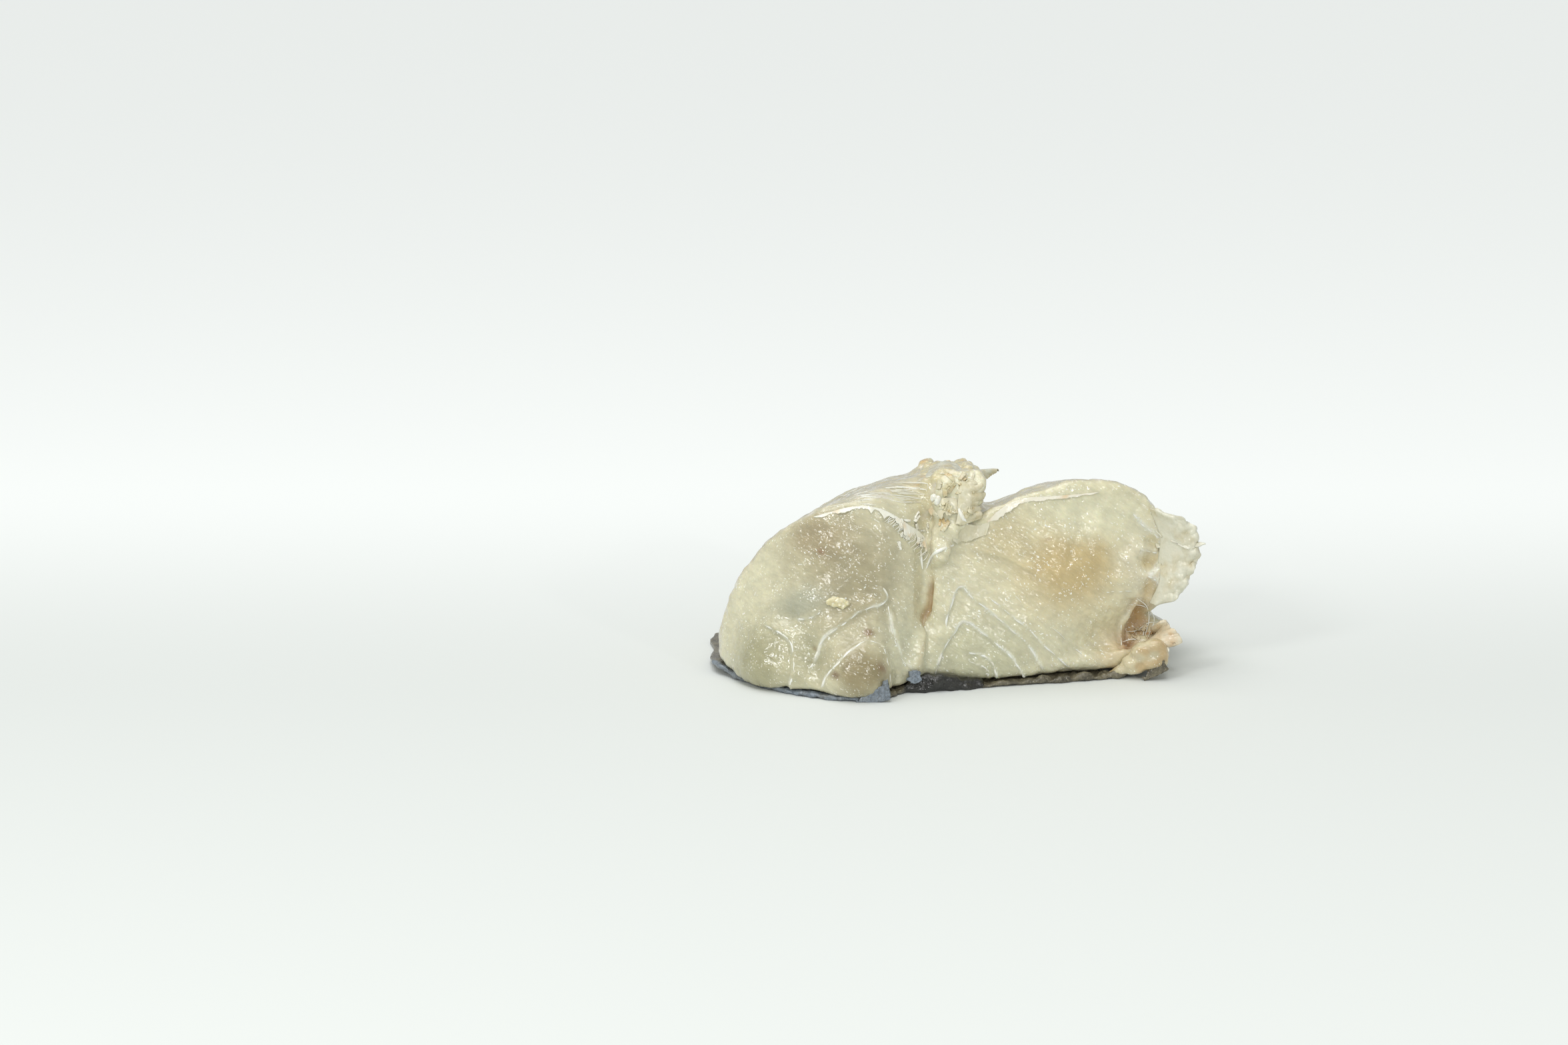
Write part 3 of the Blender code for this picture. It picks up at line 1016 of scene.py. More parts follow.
    def ridge_mask(self, places: np.ndarray, drawn: np.ndarray, near: np.ndarray) -> np.ndarray:
        """How far each place belongs to the torn ridge, from 0 to 1."""
        across = places[:, 0] + CUT.shift[0]
        above = bell(across, -1 * MM, 9 * MM) * ease(places[:, 2], 44 * MM, 50 * MM) * 1.6
        front = Swell((-1.5, 56), (9.5, 15), 1.0).share(drawn) * 1.7
        inner = ease(CUT.depth(places), 3 * MM, 8 * MM)
        return np.clip(np.maximum(above, front * ease(drawn[:, 1], 41, 47)) * inner, 0, 1)

    def painted(
        self,
        places: np.ndarray,
        drawn: np.ndarray,
        near: np.ndarray,
        cut: np.ndarray,
        gash: np.ndarray,
    ) -> np.ndarray:
        """Works out the colour of each place.

        Args:
            places: Where the vertices are.
            drawn: The same on the drawing plane.
            near: How far each belongs to the near cut face.
            cut: How far each belongs to either cut face.
            gash: How deep each lies in the midline's cleft.

        Returns:
            One linear colour a row.
        """

        def over(under: np.ndarray, colour: Colour, share: np.ndarray) -> np.ndarray:
            """Lays a colour over the rows by a share for each."""
            return under + (np.array(colour) - under) * np.clip(share, 0, 1)[:, None]

        colour = np.tile(np.array(self.outside), (len(places), 1))
        colour = over(colour, self.base, cut)
        blur = wander(places, 8 * MM, 21.0, 2)
        for tint in TINTS:
            share = tint.share(drawn + 1.2 * blur[:, None]) * (near + 0.55 * (cut - near))
            colour = over(colour, tint.colour, share)
        streaks = wander(places * np.array((0.22, 1.0, 1.0)), 1.8 * MM, 31.0, 2)
        top = (1 - cut) * ease(places[:, 2], 20 * MM, 34 * MM)
        colour = over(colour, self.silver, ease(streaks, 0.1, 0.9) * 0.6 * top)
        colour = over(colour, linear(196, 178, 150), ease(-streaks, 0.2, 1.0) * 0.5 * top)
        colour = over(colour, self.ridge, self.ridge_share)
        stained_share = ease(wander(places, 4 * MM, 41.0), 0.35, 0.9) * self.ridge_share
        silver_share = ease(wander(places, 3 * MM, 43.0), 0.3, 0.8) * self.ridge_share
        colour = over(colour, self.stain, stained_share * 0.7)
        colour = over(colour, self.silver, silver_share * 0.5)
        colour = over(colour, self.cleft, gash * 0.9)
        return colour

    def build(self) -> tuple[bpy.types.Object, Solid]:
        """Makes the loins.

        Returns:
            The piece, and its surface for others to lie on.
        """
        mesh = self.worked(self.shaped())
        solid = Solid(mesh)
        made = piece("loins", mesh, FleshFinish().made())
        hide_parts("flesh")
        return made, solid


@dataclass
class Skin:
    """The dark skin under both loins, with its rolled near edge."""

    grid: float = 0.7 * MM

    def build(self) -> bpy.types.Object:
        """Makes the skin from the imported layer, with a lumpy, granular edge.

        Returns:
            The piece.
        """
        bm = bmesh.new()
        bm.from_mesh(frame["nodes"]["skin"].data)
        bmesh.ops.remove_doubles(bm, verts=bm.verts[:], dist=0.001 * MM)
        mesh = bpy.data.meshes.new("skin_copy")
        bm.to_mesh(mesh)
        bm.free()
        mesh = voxelled(mesh, self.grid)
        ends = edge_ends(mesh)
        places = coordinates(mesh)
        ahead = ease(CUT.depth(places), 2 * MM, 5 * MM)[:, None]
        places = relaxed(places, ends, 12) * (1 - ahead) + relaxed(places, ends, 3) * ahead
        put(mesh, places)
        facing = relaxed(normals(mesh), ends, 2)
        depth = places[:, 1] - CUT.near(places[:, 0], np.zeros(len(places)))
        across = places[:, 0] / MM
        edge = 1 - ease(depth, 2 * MM, 6 * MM)
        left = 1 - ease(across, -27, -21)
        rolled = ease(across, -19, -15) * (1 - ease(across, 7, 9)) * edge
        right = ease(across, 22, 28)
        rise = 0.28 * MM * wander(places, 1.7 * MM, 3.0, 2) * edge
        rise += (0.6 + 0.9 * wander(places, 3.6 * MM, 5.0)) * MM * rolled
        upright = ease(-np.abs(facing[:, 2]), -0.8, -0.4)
        rise += 1.0 * MM * wander(places, 11 * MM, 7.0, 2) * (1 - edge) * upright
        rise += (0.3 + 0.5 * right) * MM * wander(places, 3.2 * MM, 6.0) * edge
        places = places + facing * rise[:, None]
        places[:, 1] += 1.6 * MM * left * edge * ease(-depth, -3 * MM, 1 * MM)
        lip = right * (1 - ease(depth, -0.5 * MM, 1.2 * MM)) * ease(places[:, 2], 0.8 * MM, 1.5 * MM)
        places[:, 2] += 0.9 * MM * lip
        places[:, 2] *= 1 - 0.5 * ease(across, -6, 8) * (1 - ease(across, 9.5, 12)) * edge
        places[:, 2] = np.maximum(places[:, 2], 0.0)
        put(mesh, places)
        blue = left * (0.75 + 0.25 * wander(places, 4 * MM, 9.0)) * edge
        note(mesh, "inner", np.clip(blue, 0, 1))
        note(mesh, "gloss", np.clip(rolled, 0, 1))
        made = piece("skin_layer", mesh, SkinFinish().made())
        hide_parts("skin")
        return made


def draped(
    near: Sequence[Vector],
    far: Sequence[Vector],
    thickness: float,
    ragged: float,
    seed: float,
    wrinkle: float = 0.5 * MM,
    cells: tuple[int, int] = (110, 22),
    crown: Vector = ZERO,
) -> bpy.types.Mesh:
    """Makes a thin sheet of torn tissue between two edges, with its far edge ragged.

    Args:
        near: Places along the edge that is grown on.
        far: Places along the torn edge.
        thickness: How thick the sheet is.
        ragged: How far the torn edge falls short, as a share of the width.
        seed: Gives other tears for another number.
        wrinkle: How far the sheet goes in and out.
        cells: How finely it is divided along and across.
        crown: How far its middle stands out.

    Returns:
        A closed sheet.
    """
    count = cells[0] + 1
    one, two = smooth_path(near, count), smooth_path(far, count)
    bm = bmesh.new()
    bmesh.ops.create_grid(bm, x_segments=cells[0], y_segments=cells[1], size=1)
    for vert in bm.verts:
        u, v = (vert.co.x + 1) / 2, (vert.co.y + 1) / 2
        k = min(count - 1, round(u * (count - 1)))
        width = (two[k] - one[k]).length
        start = Vector((seed, one[k].x / (4.5 * MM), one[k].z / (4.5 * MM)))
        teeth = abs(noise.noise(start)) + 0.45 * abs(noise.noise(start * 2.7))
        teeth += 0.2 * abs(noise.noise(start * 6))
        taper = min(1.0, 12 * u, 12 * (1 - u))
        reach = v * max(0.05, 1 - ragged * 1.5 * teeth) * (0.25 + 0.75 * taper)
        place = one[k].lerp(two[k], reach)
        fold = noise.noise(Vector((u * 9, v * width / (4 * MM), seed)))
        fine = noise.noise(place / (1.4 * MM))
        bend = crown * (4 * v * (1 - v)) + Vector((0.2, -1.0, 0.3)) * wrinkle * (fold + 0.35 * fine) * v
        vert.co = place + bend
    bm.normal_update()
    outward = math.copysign(thickness, sum(vert.normal.z * 0.3 - vert.normal.y for vert in bm.verts))
    ways = {tuple(vert.co): vert.normal.copy() for vert in bm.verts}
    grown = bmesh.ops.extrude_face_region(bm, geom=bm.faces[:], use_keep_orig=True)["geom"]
    for vert in (item for item in grown if isinstance(item, bmesh.types.BMVert)):
        vert.co += ways[tuple(vert.co)] * outward
    return mesh_of("sheet", bm)


def stained(mesh: bpy.types.Mesh, colour: Colour, stain: Colour, size: float, seed: float) -> None:
    """Stores a colour with soft stains of another for each vertex."""
    share = ease(wander(coordinates(mesh), size, seed, 2), 0.0, 0.9)[:, None]
    note_colour(mesh, "tint", np.array(colour) + (np.array(stain) - np.array(colour)) * share)
    note(mesh, "seam", np.zeros(len(mesh.vertices)))


class Hang(Enum):
    """Where the torn edge of a sheet is: on the flesh, or free at a set depth."""

    LAID = "laid on the flesh"
    FREE = "standing free"


@dataclass(frozen=True)
class TornSheet:
    """One thin torn sheet, drawn by its grown-on edge and its torn edge."""

    name: str
    near: tuple[Point2, ...]
    far: tuple[Point2, ...]
    hang: Hang = Hang.FREE
    lift: float = 0.5
    depth: float = 30.0
    thickness: float = 0.4
    ragged: float = 0.3
    wrinkle: float = 0.6
    colour: Colour = linear(232, 229, 212)
    stain: Colour = linear(226, 206, 172)
    crown: tuple[float, float, float] = (0.0, 0.0, 0.0)
    cells: tuple[int, int] = (110, 22)

    def mesh(self, solid: Solid, seed: float) -> bpy.types.Mesh:
        """Makes the sheet's mesh.

        Args:
            solid: The flesh that it grows on.
            seed: Gives other tears for another number.

        Returns:
            The mesh, with its colours stored.
        """
        near = [solid.seen(spot, -0.1 * MM) for spot in self.near]
        if self.hang is Hang.LAID:
            far = [solid.seen(spot, self.lift * MM) for spot in self.far]
        else:
            far = [solid.behind(spot, self.depth * MM) for spot in self.far]
        crown = Vector(self.crown) * MM
        made = draped(
            near, far, self.thickness * MM, self.ragged, seed, self.wrinkle * MM, self.cells, crown
        )
        stained(made, self.colour, self.stain, 5 * MM, seed)
        return made


WHITE = linear(240, 238, 224)


@dataclass(frozen=True)
class Tatters:
    """Many little torn scraps that stand up from one part of the flesh, all in one piece."""

    name: str
    spot: Point2
    size: Point2
    count: int
    length: float = 3.0
    lift: float = 1.2
    colour: Colour = linear(228, 222, 198)
    stain: Colour = linear(222, 194, 146)

    def mesh(self, solid: Solid) -> bpy.types.Mesh:
        """Makes all the scraps.

        Args:
            solid: The flesh that they are torn from.

        Returns:
            The mesh, with its colours stored.
        """
        bm = bmesh.new()
        for k in range(self.count):
            ring, way = math.sqrt(((k + 0.5) * PLASTIC) % 1.0), k * GOLDEN_TURN + 2 * math.sin(k)
            across = self.spot[0] + self.size[0] * ring * math.cos(way)
            up = self.spot[1] + self.size[1] * ring * math.sin(way)
            long = self.length * (0.6 + 0.7 * ((k * PLASTIC_SQUARE) % 1.0))
            turn = 5.1 * math.sin(k * 3.3)
            one = (math.cos(turn) * long / 2, math.sin(turn) * long / 2)
            two = (-one[1] * 0.9, one[0] * 0.9)
            near = [(across - one[0], up - one[1]), (across, up), (across + one[0], up + one[1])]
            grown = [solid.seen(spot, -0.3 * MM) for spot in near]
            lift = self.lift * (0.5 + ((k * PLASTIC_FIFTH) % 1.0)) * MM
            torn = [solid.seen((a + two[0], b + two[1]), lift) for a, b in near]
            scrap = draped(grown, torn, 0.45 * MM, 0.5, k * 1.3, 0.5 * MM, (18, 8))
            bm.from_mesh(scrap)
            bpy.data.meshes.remove(scrap)
        made = mesh_of(self.name, bm)
        stained(made, self.colour, self.stain, 3 * MM, 6.0)
        return made


TATTERS: tuple[Tatters, ...] = (
    Tatters(
        "ridge_scraps", (-1.0, 60.5), (6.5, 8.5), 26, 3.0, 0.6, linear(206, 197, 158),
        linear(202, 178, 128),
    ),
    Tatters("side_scraps", (61.5, 42), (2.5, 9), 5, 5.0, 1.0, linear(220, 217, 196), linear(210, 200, 168)),
    Tatters(
        "pocket_scraps", (54.5, 20.5), (4.0, 3.0), 8, 2.2, 0.6, linear(204, 184, 146),
        linear(190, 146, 96),
    ),
    Tatters("rim_scraps", (-14.5, 51.5), (6.0, 5.5), 14, 2.4, 0.6, WHITE, linear(226, 220, 204)),
)
SHEETS: tuple[TornSheet, ...] = (
    TornSheet(
        "rim_fringe",
        (
            (-43.3, 55.8), (-35.8, 58.0), (-29.8, 59.0), (-23.9, 58.4),
            (-18.9, 56), (-14.9, 53.4), (-10.9, 50.4), (-9.4, 46),
        ),
        (
            (-43.3, 54.8), (-36, 56.4), (-30, 57.2), (-24.6, 55.8),
            (-19.8, 53), (-16.2, 49.8), (-12.6, 46.4), (-10.6, 42),
        ),
        Hang.LAID,
        0.7,
        ragged=0.75,
        wrinkle=0.3,
        thickness=0.3,
        colour=WHITE,
        cells=(220, 12),
    ),
    TornSheet(
        "shoulder_band",
        ((8.5, 54.4), (12, 57.8), (16, 60.2), (21, 61.6), (28, 62.0), (35, 62.6), (42, 63.2)),
        ((9.6, 53.0), (13.6, 56.0), (18, 58.6), (23, 60.2), (29, 60.8), (35, 61.6), (42, 62.4)),
        Hang.LAID,
        0.35,
        ragged=0.5,
        wrinkle=0.2,
        thickness=0.3,
        colour=linear(234, 228, 210),
        cells=(160, 12),
    ),
    TornSheet(
        "outer_flap",
        ((57.5, 58.5), (60.5, 50), (60, 43), (60.5, 37), (57.5, 30)),
        ((64.5, 57.6), (71.6, 52.6), (73, 45), (70.6, 38), (63, 28.6)),
        depth=34,
        ragged=0.1,
        wrinkle=2.2,
        colour=linear(216, 214, 194),
        stain=linear(206, 198, 168),
        crown=(0.5, -1.5, 0),
        cells=(150, 44),
    ),
    TornSheet(
        "outer_tip",
        ((68, 51.5), (71, 50.6), (75.2, 48.8)),
        ((68.5, 45.5), (72, 46.2), (75.4, 48.0)),
        depth=33,
        ragged=0.2,
        wrinkle=0.5,
        cells=(50, 16),
    ),
    TornSheet(
        "ridge_sheet",
        ((-0.8, 53.6), (-0.2, 58.0), (0.0, 63.0), (1.2, 66.8)),
        ((8.9, 55.0), (7.2, 59.0), (8.2, 62.2), (7.8, 67.2)),
        depth=27.2,
        ragged=0.25,
        wrinkle=1.3,
        thickness=0.5,
        colour=linear(208, 201, 169),
        stain=linear(198, 186, 148),
        crown=(0, -1.0, 0),
        cells=(90, 34),
    ),
    TornSheet(
        "ridge_tip",
        ((3.6, 66.2), (4.4, 69.2), (5.4, 71.3)),
        ((8.0, 67.2), (10.0, 68.8), (12.6, 70.2)),
        depth=40,
        ragged=0.08,
        wrinkle=0.7,
        thickness=0.6,
        colour=linear(206, 198, 168),
        stain=linear(196, 196, 176),
        cells=(60, 24),
    ),
    TornSheet(
        "ridge_crest",
        ((-9.8, 67.4), (-5, 68.6), (-1, 67.8), (2, 67.2)),
        ((-9.6, 70.2), (-4.6, 72.6), (-1.0, 71.8), (2.4, 69.2)),
        depth=47,
        ragged=0.3,
        wrinkle=0.8,
        colour=linear(206, 204, 180),
        stain=linear(196, 184, 146),
        cells=(90, 22),
    ),
    TornSheet(
        "ridge_apron",
        ((-2.4, 54.0), (1.5, 54.0), (5.5, 53.4), (9.2, 54.4)),
        ((-2.6, 47.2), (1, 47.8), (5, 49.0), (9.6, 50.8)),
        Hang.LAID,
        0.3,
        ragged=0.2,
        wrinkle=0.3,
        thickness=0.2,
        colour=linear(206, 199, 168),
        stain=linear(202, 192, 154),
        cells=(90, 24),
    ),
    TornSheet(
        "ridge_tatter",
        ((-8.8, 58), (-6, 61), (-2, 61.5), (2, 60)),
        ((-7.5, 53.5), (-4.5, 55), (-1, 55.4), (2.5, 55)),
        Hang.LAID,
        1.0,
        ragged=0.6,
        wrinkle=0.8,
        colour=linear(216, 208, 176),
        cells=(80, 18),
    ),
    TornSheet(
        "pointed_flap",
        ((58.2, 22.0), (60, 20.4), (62.8, 18.6), (66, 17.4)),
        ((59.4, 24.6), (62.4, 25.0), (65.6, 21.8), (68.4, 17.8)),
        depth=31,
        ragged=0.15,
        wrinkle=0.6,
        thickness=1.0,
        colour=linear(222, 204, 172),
        stain=linear(214, 178, 132),
        crown=(0, -1.2, 0.4),
        cells=(60, 22),
    ),
    TornSheet(
        "low_tatter",
        ((61, 16.4), (62.6, 14.6), (62, 11.8)),
        ((66.8, 17.2), (66.0, 14.4), (63.6, 12.2)),
        depth=27,
        ragged=0.4,
        wrinkle=0.5,
        colour=WHITE,
        cells=(50, 18),
    ),
)


@dataclass(frozen=True)
class Heap:
    """A small heap of soft lumps grown together, drawn by (across, up, lift, width, height)."""

    name: str
    lumps: tuple[tuple[float, float, float, float, float], ...]
    colour: Colour
    stain: Colour
    stain_size: float = 3.0
    grid: float = 0.35
    rough: float = 0.25
    turn: float = 0.0
    depth: float | None = None
    smooth: int = 4

    def mesh(self, solid: Solid) -> bpy.types.Mesh:
        """Makes the heap's mesh, with its colours stored.

        Args:
            solid: The flesh that it lies on.

        Returns:
            The mesh.
        """
        bm = bmesh.new()
        for k, (across, up, lift, width, height) in enumerate(self.lumps):
            if self.depth is None:
                centre = solid.seen((across, up), lift * MM)
            else:
                centre = solid.behind((across, up), (self.depth - lift) * MM)
            radii = Vector((width, max(width, height) * 0.85, height)) * MM
            add_lump(bm, centre, radii, self.turn, k * 0.71 + across)
        made = voxelled(mesh_of("heap", bm), self.grid * MM)
        ends = edge_ends(made)
        places = relaxed(coordinates(made), ends, self.smooth)
        put(made, places)
        rise = wander(places, 1.6 * MM, 3.3, 2) * self.rough * MM
        put(made, places + normals(made) * rise[:, None])
        stained(made, self.colour, self.stain, self.stain_size * MM, 2.2)
        return made


HEAPS: tuple[Heap, ...] = (
    Heap(
        "cream_nub",
        (
            (-38.6, 30.4, 0.3, 1.3, 1.3),
            (-37.4, 31.2, 0.4, 1.1, 1.0),
            (-36.2, 30.8, 0.6, 1.3, 1.3),
            (-34.9, 30.6, 0.6, 1.3, 1.1),
            (-33.7, 29.9, 0.3, 1.0, 1.1),
            (-37.4, 29.4, 0.3, 1.1, 0.8),
            (-35.8, 29.2, 0.6, 1.2, 0.8),
            (-34.6, 28.8, 0.2, 0.8, 0.7),
        ),
        linear(216, 206, 164),
        linear(232, 226, 196),
        1.2,
        0.25,
        0.22,
    ),
    Heap(
        "ridge_chunk",
        ((-7.6, 61.6, 0.5, 1.2, 1.3), (-6.2, 61.2, 0.6, 1.1, 1.2), (-6.6, 60.2, 0.5, 1.0, 0.9)),
        linear(238, 236, 222),
        linear(226, 222, 200),
    ),
    Heap(
        "belly_roll",
        (
            (46.0, 8.8, 0.0, 2.6, 1.1),
            (49.0, 10.2, 0.3, 3.2, 1.7),
            (52.0, 12.4, 0.8, 3.8, 2.6),
            (55.2, 15.2, 1.3, 3.8, 3.4),
            (58.4, 16.4, 1.6, 3.6, 3.4),
            (61.0, 15.4, 1.0, 2.3, 3.4),
            (57.4, 12.6, 1.2, 4.6, 2.8),
            (53.4, 10.6, 0.6, 3.8, 1.9),
            (61.0, 12.2, 0.8, 2.2, 2.2),
        ),
        linear(206, 195, 161),
        linear(196, 172, 128),
        6.0,
        0.42,
        0.07,
        -18,
        30.0,
        14,
    ),
)


@dataclass(frozen=True)
class Tab:
    """A small flap of skin that stands against the cut face or lies beside it."""

    name: str
    low: tuple[Point2, ...]
    high: tuple[Point2, ...]
    depth: float
    inner: float
    gloss: float = 0.2

    def mesh(self, solid: Solid) -> bpy.types.Mesh:
        """Makes the flap's mesh, with its finish stored.

        Args:
            solid: The flesh that it stands against.

        Returns:
            The mesh.
        """
        low = [solid.behind(spot, self.depth * MM) for spot in self.low]
        high = [solid.behind(spot, (self.depth + 0.8) * MM) for spot in self.high]
        made = draped(low, high, 1.2 * MM, 0.12, 4.4, 0.6 * MM, (60, 18))
        places = coordinates(made)
        places[:, 2] = np.maximum(places[:, 2], 0.05 * MM)
        put(made, places)
        note(made, "inner", np.full(len(places), self.inner))
        note(made, "gloss", np.full(len(places), self.gloss))
        return made


TABS: tuple[Tab, ...] = (
    Tab(
        "blue_tab", ((-31, 0.4), (-25, 0.2), (-20.4, 1.2)),
        ((-30, 1.6), (-24.6, 4.6), (-20.6, 8.2)), 1.8, 0.8,
    ),
    Tab(
        "roll_lining", ((-14.6, 6.2), (-13.2, 6.0), (-11.8, 6.2)),
        ((-14.8, 9.2), (-13.2, 10.2), (-11.6, 9.0)), 11.6, 0.9,
    ),
    Tab(
        "skin_end", ((55.5, 6.6), (59.6, 8.4), (63.0, 10.0)),
        ((56.4, 9.0), (59.2, 12.6), (61.8, 13.0)), 27.0, 0.0, 0.1,
    ),
)


@dataclass
class Strands:
    """Fine white threads of torn tissue, all in one piece."""

    back_threads: int = 26
    rim_threads: int = 22
    runs: list[tuple[list[Vector], float]] = field(default_factory=list)

    def lay(self, solid: Solid, spots: Sequence[Point2], radius: float, lift: float) -> None:
        """Adds a thread that lies on the flesh along drawing places."""
        self.runs.append(([solid.seen(spot, lift * MM) for spot in spots], radius * MM))

    def gather(self, solid: Solid) -> None:
        """Adds every thread."""
        self.gather_back(solid)
        self.gather_rim(solid)
        self.gather_seams(solid)
        self.gather_pocket(solid)
        self.gather_ridge(solid)

    def gather_back(self, solid: Solid) -> None:
        """Adds the fine threads over the left back."""
        for k in range(self.back_threads):
            t, w = (k * GOLDEN) % 1.0, (k * PLASTIC) % 1.0
            start = (-41 + 22 * t, 58.6 + 5.5 * w + 3 * t)
            end = (start[0] + 9 + 12 * w, start[1] + 1.5 - 3.5 * t)
            middle = ((start[0] + end[0]) / 2, (start[1] + end[1]) / 2 + 0.8 * math.sin(k))
            self.lay(solid, (start, middle, (min(-9.5, end[0]), end[1])), 0.11 + 0.1 * w, 0.05)

    def gather_rim(self, solid: Solid) -> None:
        """Adds the short threads that hang from the left rim."""
        for k in range(self.rim_threads):
            t = k / (self.rim_threads - 1)
            top = (-20 + 11 * t, 57 - 12 * t**1.3)
            side = 1.2 * math.sin(k * 2.1)
            self.lay(solid, (top, (top[0] - 1 + side, top[1] - 1.6), (top[0] - 2.2, top[1] - 2.6)), 0.14, 0.3)

    def gather_seams(self, solid: Solid) -> None:
        """Adds the raised white edges of the seams, in short broken runs."""
        for number, line in enumerate(line for line in SEAMS if line.white > 0.3):
            spots = line.curve()
            found = np.array([tuple(solid.seen(tuple(spot))) for spot in spots])
            spots = spots - shaken(found)
            start = 1
            while start < len(spots) - 3:
                length = 5 + int(4 * abs(math.sin(number + start * 1.7)))
                run = [tuple(spot) for spot in spots[start : start + length : 2]]
                thick = line.white * (0.26 + 0.26 * abs(math.sin(2.3 * number + start)))
                if len(run) > 2:
                    self.lay(solid, run, thick, -0.75 * thick)
                start += length - 1 if thick > 0.25 else length + 1

    def gather_pocket(self, solid: Solid) -> None:
        """Adds the threads across the pocket on the right."""
        for spots in (
            ((53.4, 31.5), (56.4, 29.0), (57.1, 25.0), (56.0, 20.5)),
            ((51.0, 29.5), (55.7, 29.0), (58.7, 25.3), (56.7, 19.6)),
            ((56.4, 31.0), (57.4, 26.5), (55.6, 21.5), (54.8, 17.6)),
            ((50.2, 21.4), (53.4, 21.8), (56.8, 24.0), (60.2, 24.4)),
            ((49.2, 18.4), (52.6, 19.2), (55.6, 17.6)),
        ):
            self.lay(solid, spots, 0.2, 0.4)

    def gather_ridge(self, solid: Solid) -> None:
        """Adds the thick threads round the foot of the ridge."""
        self.lay(solid, ((0.0, 58.4), (1.0, 56.0), (2.8, 53.0)), 0.9, 0.4)
        self.lay(solid, ((-1.6, 47.4), (-4.4, 46.4), (-6.8, 45.2), (-8.4, 43.4), (-9.6, 40.6)), 0.6, 0.1)
        self.lay(solid, ((-11.4, 46.0), (-11.2, 43.0), (-10.8, 40.2)), 0.5, 0.0)

    def build(self, solid: Solid, finish: bpy.types.Material) -> bpy.types.Object:
        """Makes the threads.

        Args:
            solid: The flesh that they lie on.
            finish: Their material.

        Returns:
            The piece.
        """
        self.gather(solid)
        line = bpy.data.curves.new("threads", "CURVE")
        line.dimensions = "3D"
        line.bevel_depth = 1.0
        line.bevel_resolution = 1
        line.use_fill_caps = True
        for points, radius in self.runs:
            path = smooth_path(points, 16)
            spline = line.splines.new("POLY")
            spline.points.add(len(path) - 1)
            for k, (point, place) in enumerate(zip(spline.points, path)):
                point.co = (*place, 1)
                point.radius = radius * (0.35 + 0.65 * math.sin(math.pi * (k + 0.5) / len(path)))
        holder = bpy.data.objects.new("threads", line)
        bpy.context.scene.collection.objects.link(holder)
        graph = bpy.context.evaluated_depsgraph_get()
        made = bpy.data.meshes.new_from_object(holder.evaluated_get(graph), depsgraph=graph)
        bpy.data.objects.remove(holder)
        stained(made, linear(246, 246, 238), linear(236, 232, 216), 5 * MM, 1.0)
        return piece("threads", made, finish)


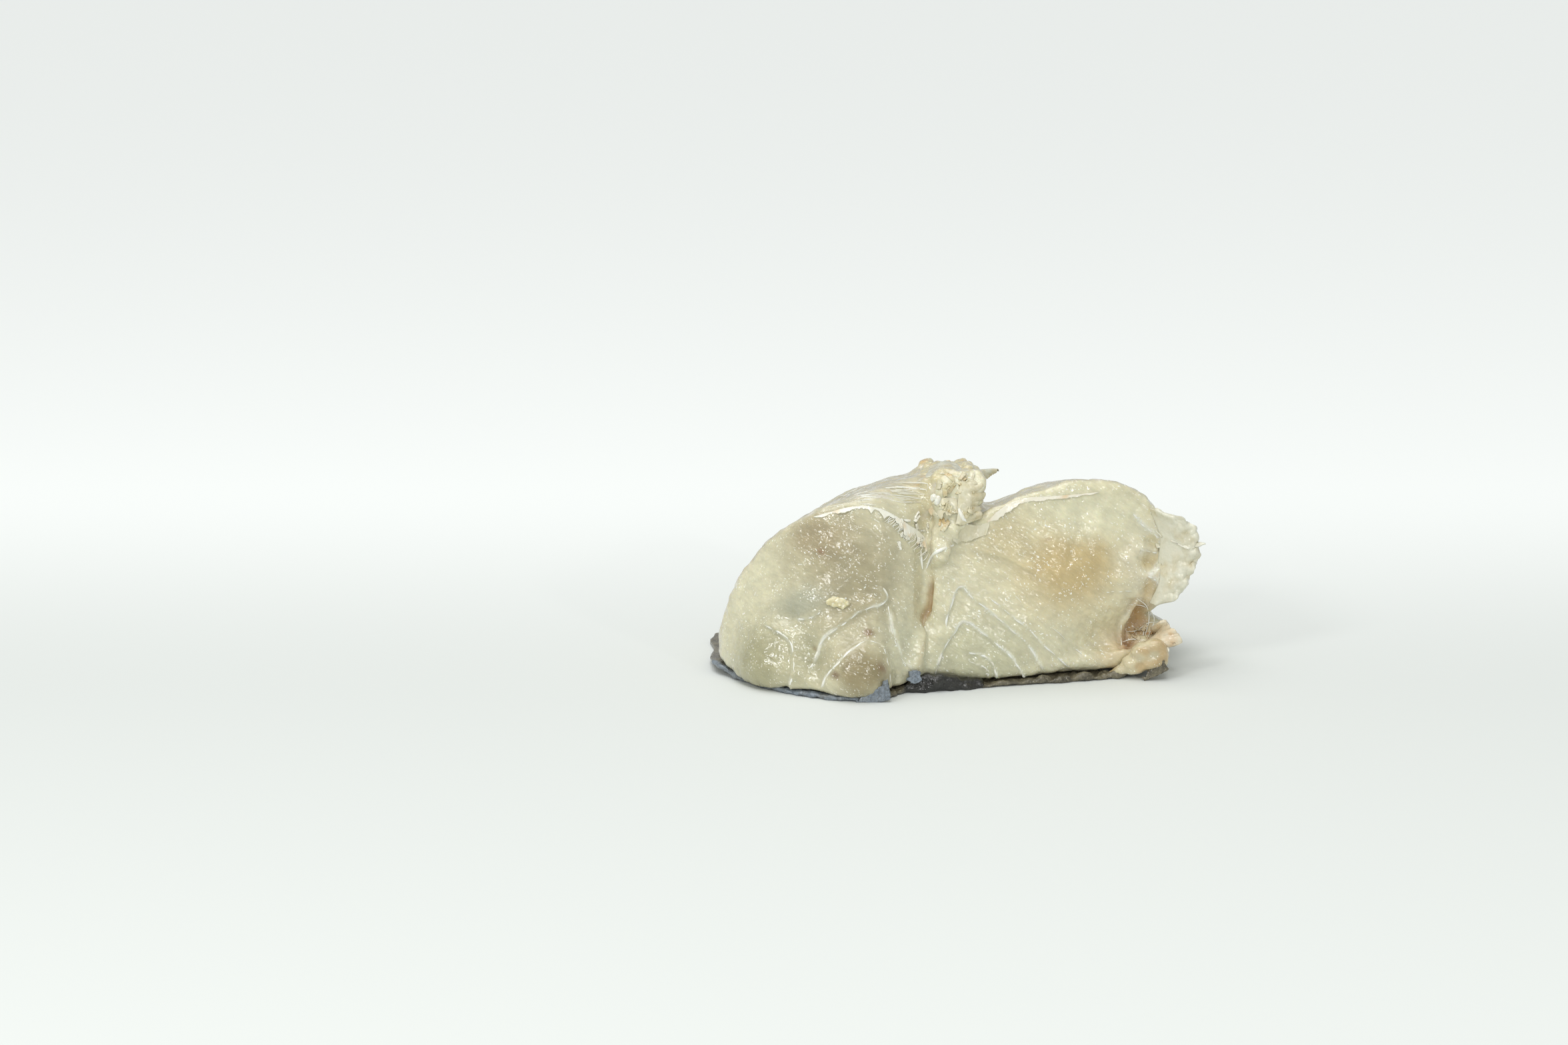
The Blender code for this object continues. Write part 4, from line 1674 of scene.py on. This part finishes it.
@dataclass(frozen=True)
class Studio:
    """The pale floor, with painted shade in front and a painted glow far behind, the soft light and the
    camera.
    """

    floor: Colour = (0.88, 0.902, 0.885)
    near_floor_painted_shade: Colour = (0.71, 0.735, 0.71)
    far_floor_painted_glow: Colour = (0.06, 0.06, 0.06)
    reach: float = 14.0
    sky: float = 0.46
    sun: float = 1.4

    def make_floor(self) -> None:
        """Makes the pale floor, its colour painted darker in front as shade and lifted far behind by a faint
        painted glow.
        """
        bm = bmesh.new()
        bmesh.ops.create_grid(bm, x_segments=2, y_segments=2, size=self.reach)
        floor = bpy.data.objects.new("floor", mesh_of("floor", bm))
        bpy.context.scene.collection.objects.link(floor)
        n = Nodes("pale_floor")
        away = n.add("ShaderNodeSeparateXYZ")
        n.join(n.object, away.inputs[0])
        # Painted shade and glow: the colour darkens towards the front and a faint emission brightens the far
        # floor, standing in for the fall of light.
        far = n.span(away.outputs["Y"], -0.05, 0.3, 0, 1)
        n.join(n.blend(far, self.near_floor_painted_shade, self.floor), n.shader.inputs["Base Color"])
        n.join(n.blend(far, (0.0, 0.0, 0.0), self.far_floor_painted_glow), n.shader.inputs["Emission Color"])
        n.fixed(Roughness=0.75, Emission_Strength=1.0)
        floor.data.materials.append(n.material)

    def make_light(self) -> None:
        """Makes the soft light: an even sky, a wide sun and a softbox."""
        world = bpy.data.worlds.new("studio")
        world.use_nodes = True
        sky = world.node_tree.nodes["Background"]
        sky.inputs["Color"].default_value = (0.97, 1.0, 0.985, 1)
        sky.inputs["Strength"].default_value = self.sky
        bpy.context.scene.world = world
        for name, kind, energy, spot, size in (
            ("wide_sun", "SUN", self.sun, (-0.35, 0.1, 1.5), 0.9),
            ("lamp_left", "AREA", 2.6, (-0.7, -0.8, 0.62), 0.2),
            ("lamp_high", "AREA", 2.8, (0.05, -0.85, 1.1), 0.30),
            ("lamp_front", "AREA", 0.9, (-0.3, -1.15, 0.42), 0.07),
            ("lamp_right", "AREA", 1.0, (0.6, -0.95, 0.42), 0.07),
        ):
            light = bpy.data.lights.new(name, kind)
            light.energy = energy
            if kind == "SUN":
                light.angle = size
            else:
                light.size = size
            lamp = bpy.data.objects.new(name, light)
            lamp.location = spot
            lamp.rotation_euler = (-Vector(spot)).to_track_quat("-Z", "Y").to_euler()
            bpy.context.scene.collection.objects.link(lamp)

    def make_camera(self) -> None:
        """Makes the camera where the eye is."""
        lens = bpy.data.cameras.new("camera")
        lens.lens = EYE.lens
        lens.sensor_width = EYE.film
        camera = bpy.data.objects.new("camera", lens)
        camera.location = EYE.place()
        camera.rotation_euler = EYE.ahead().to_track_quat("-Z", "Y").to_euler()
        bpy.context.scene.collection.objects.link(camera)
        bpy.context.scene.camera = camera
        bpy.context.scene.view_settings.view_transform = "Standard"


def main() -> None:
    """Builds every part of the fish and its studio, and reports each piece."""
    logging.basicConfig(level=logging.INFO, format="%(name)s: %(message)s")
    studio = Studio()
    studio.make_floor()
    studio.make_light()
    studio.make_camera()
    loins, solid = Loins().build()
    Skin().build()
    flesh = loins.data.materials[0]
    membrane = MembraneFinish().made()
    skin = bpy.data.materials["damp_cod_skin"]
    for number, sheet in enumerate(SHEETS):
        piece(sheet.name, sheet.mesh(solid, 1.7 * number + 0.4), membrane)
    for tatters in TATTERS:
        piece(tatters.name, tatters.mesh(solid), membrane)
    for heap in HEAPS:
        piece(heap.name, heap.mesh(solid), flesh)
    for tab in TABS:
        piece(tab.name, tab.mesh(solid), skin)
    Strands().build(solid, membrane)


if __name__ == "__main__":
    main()
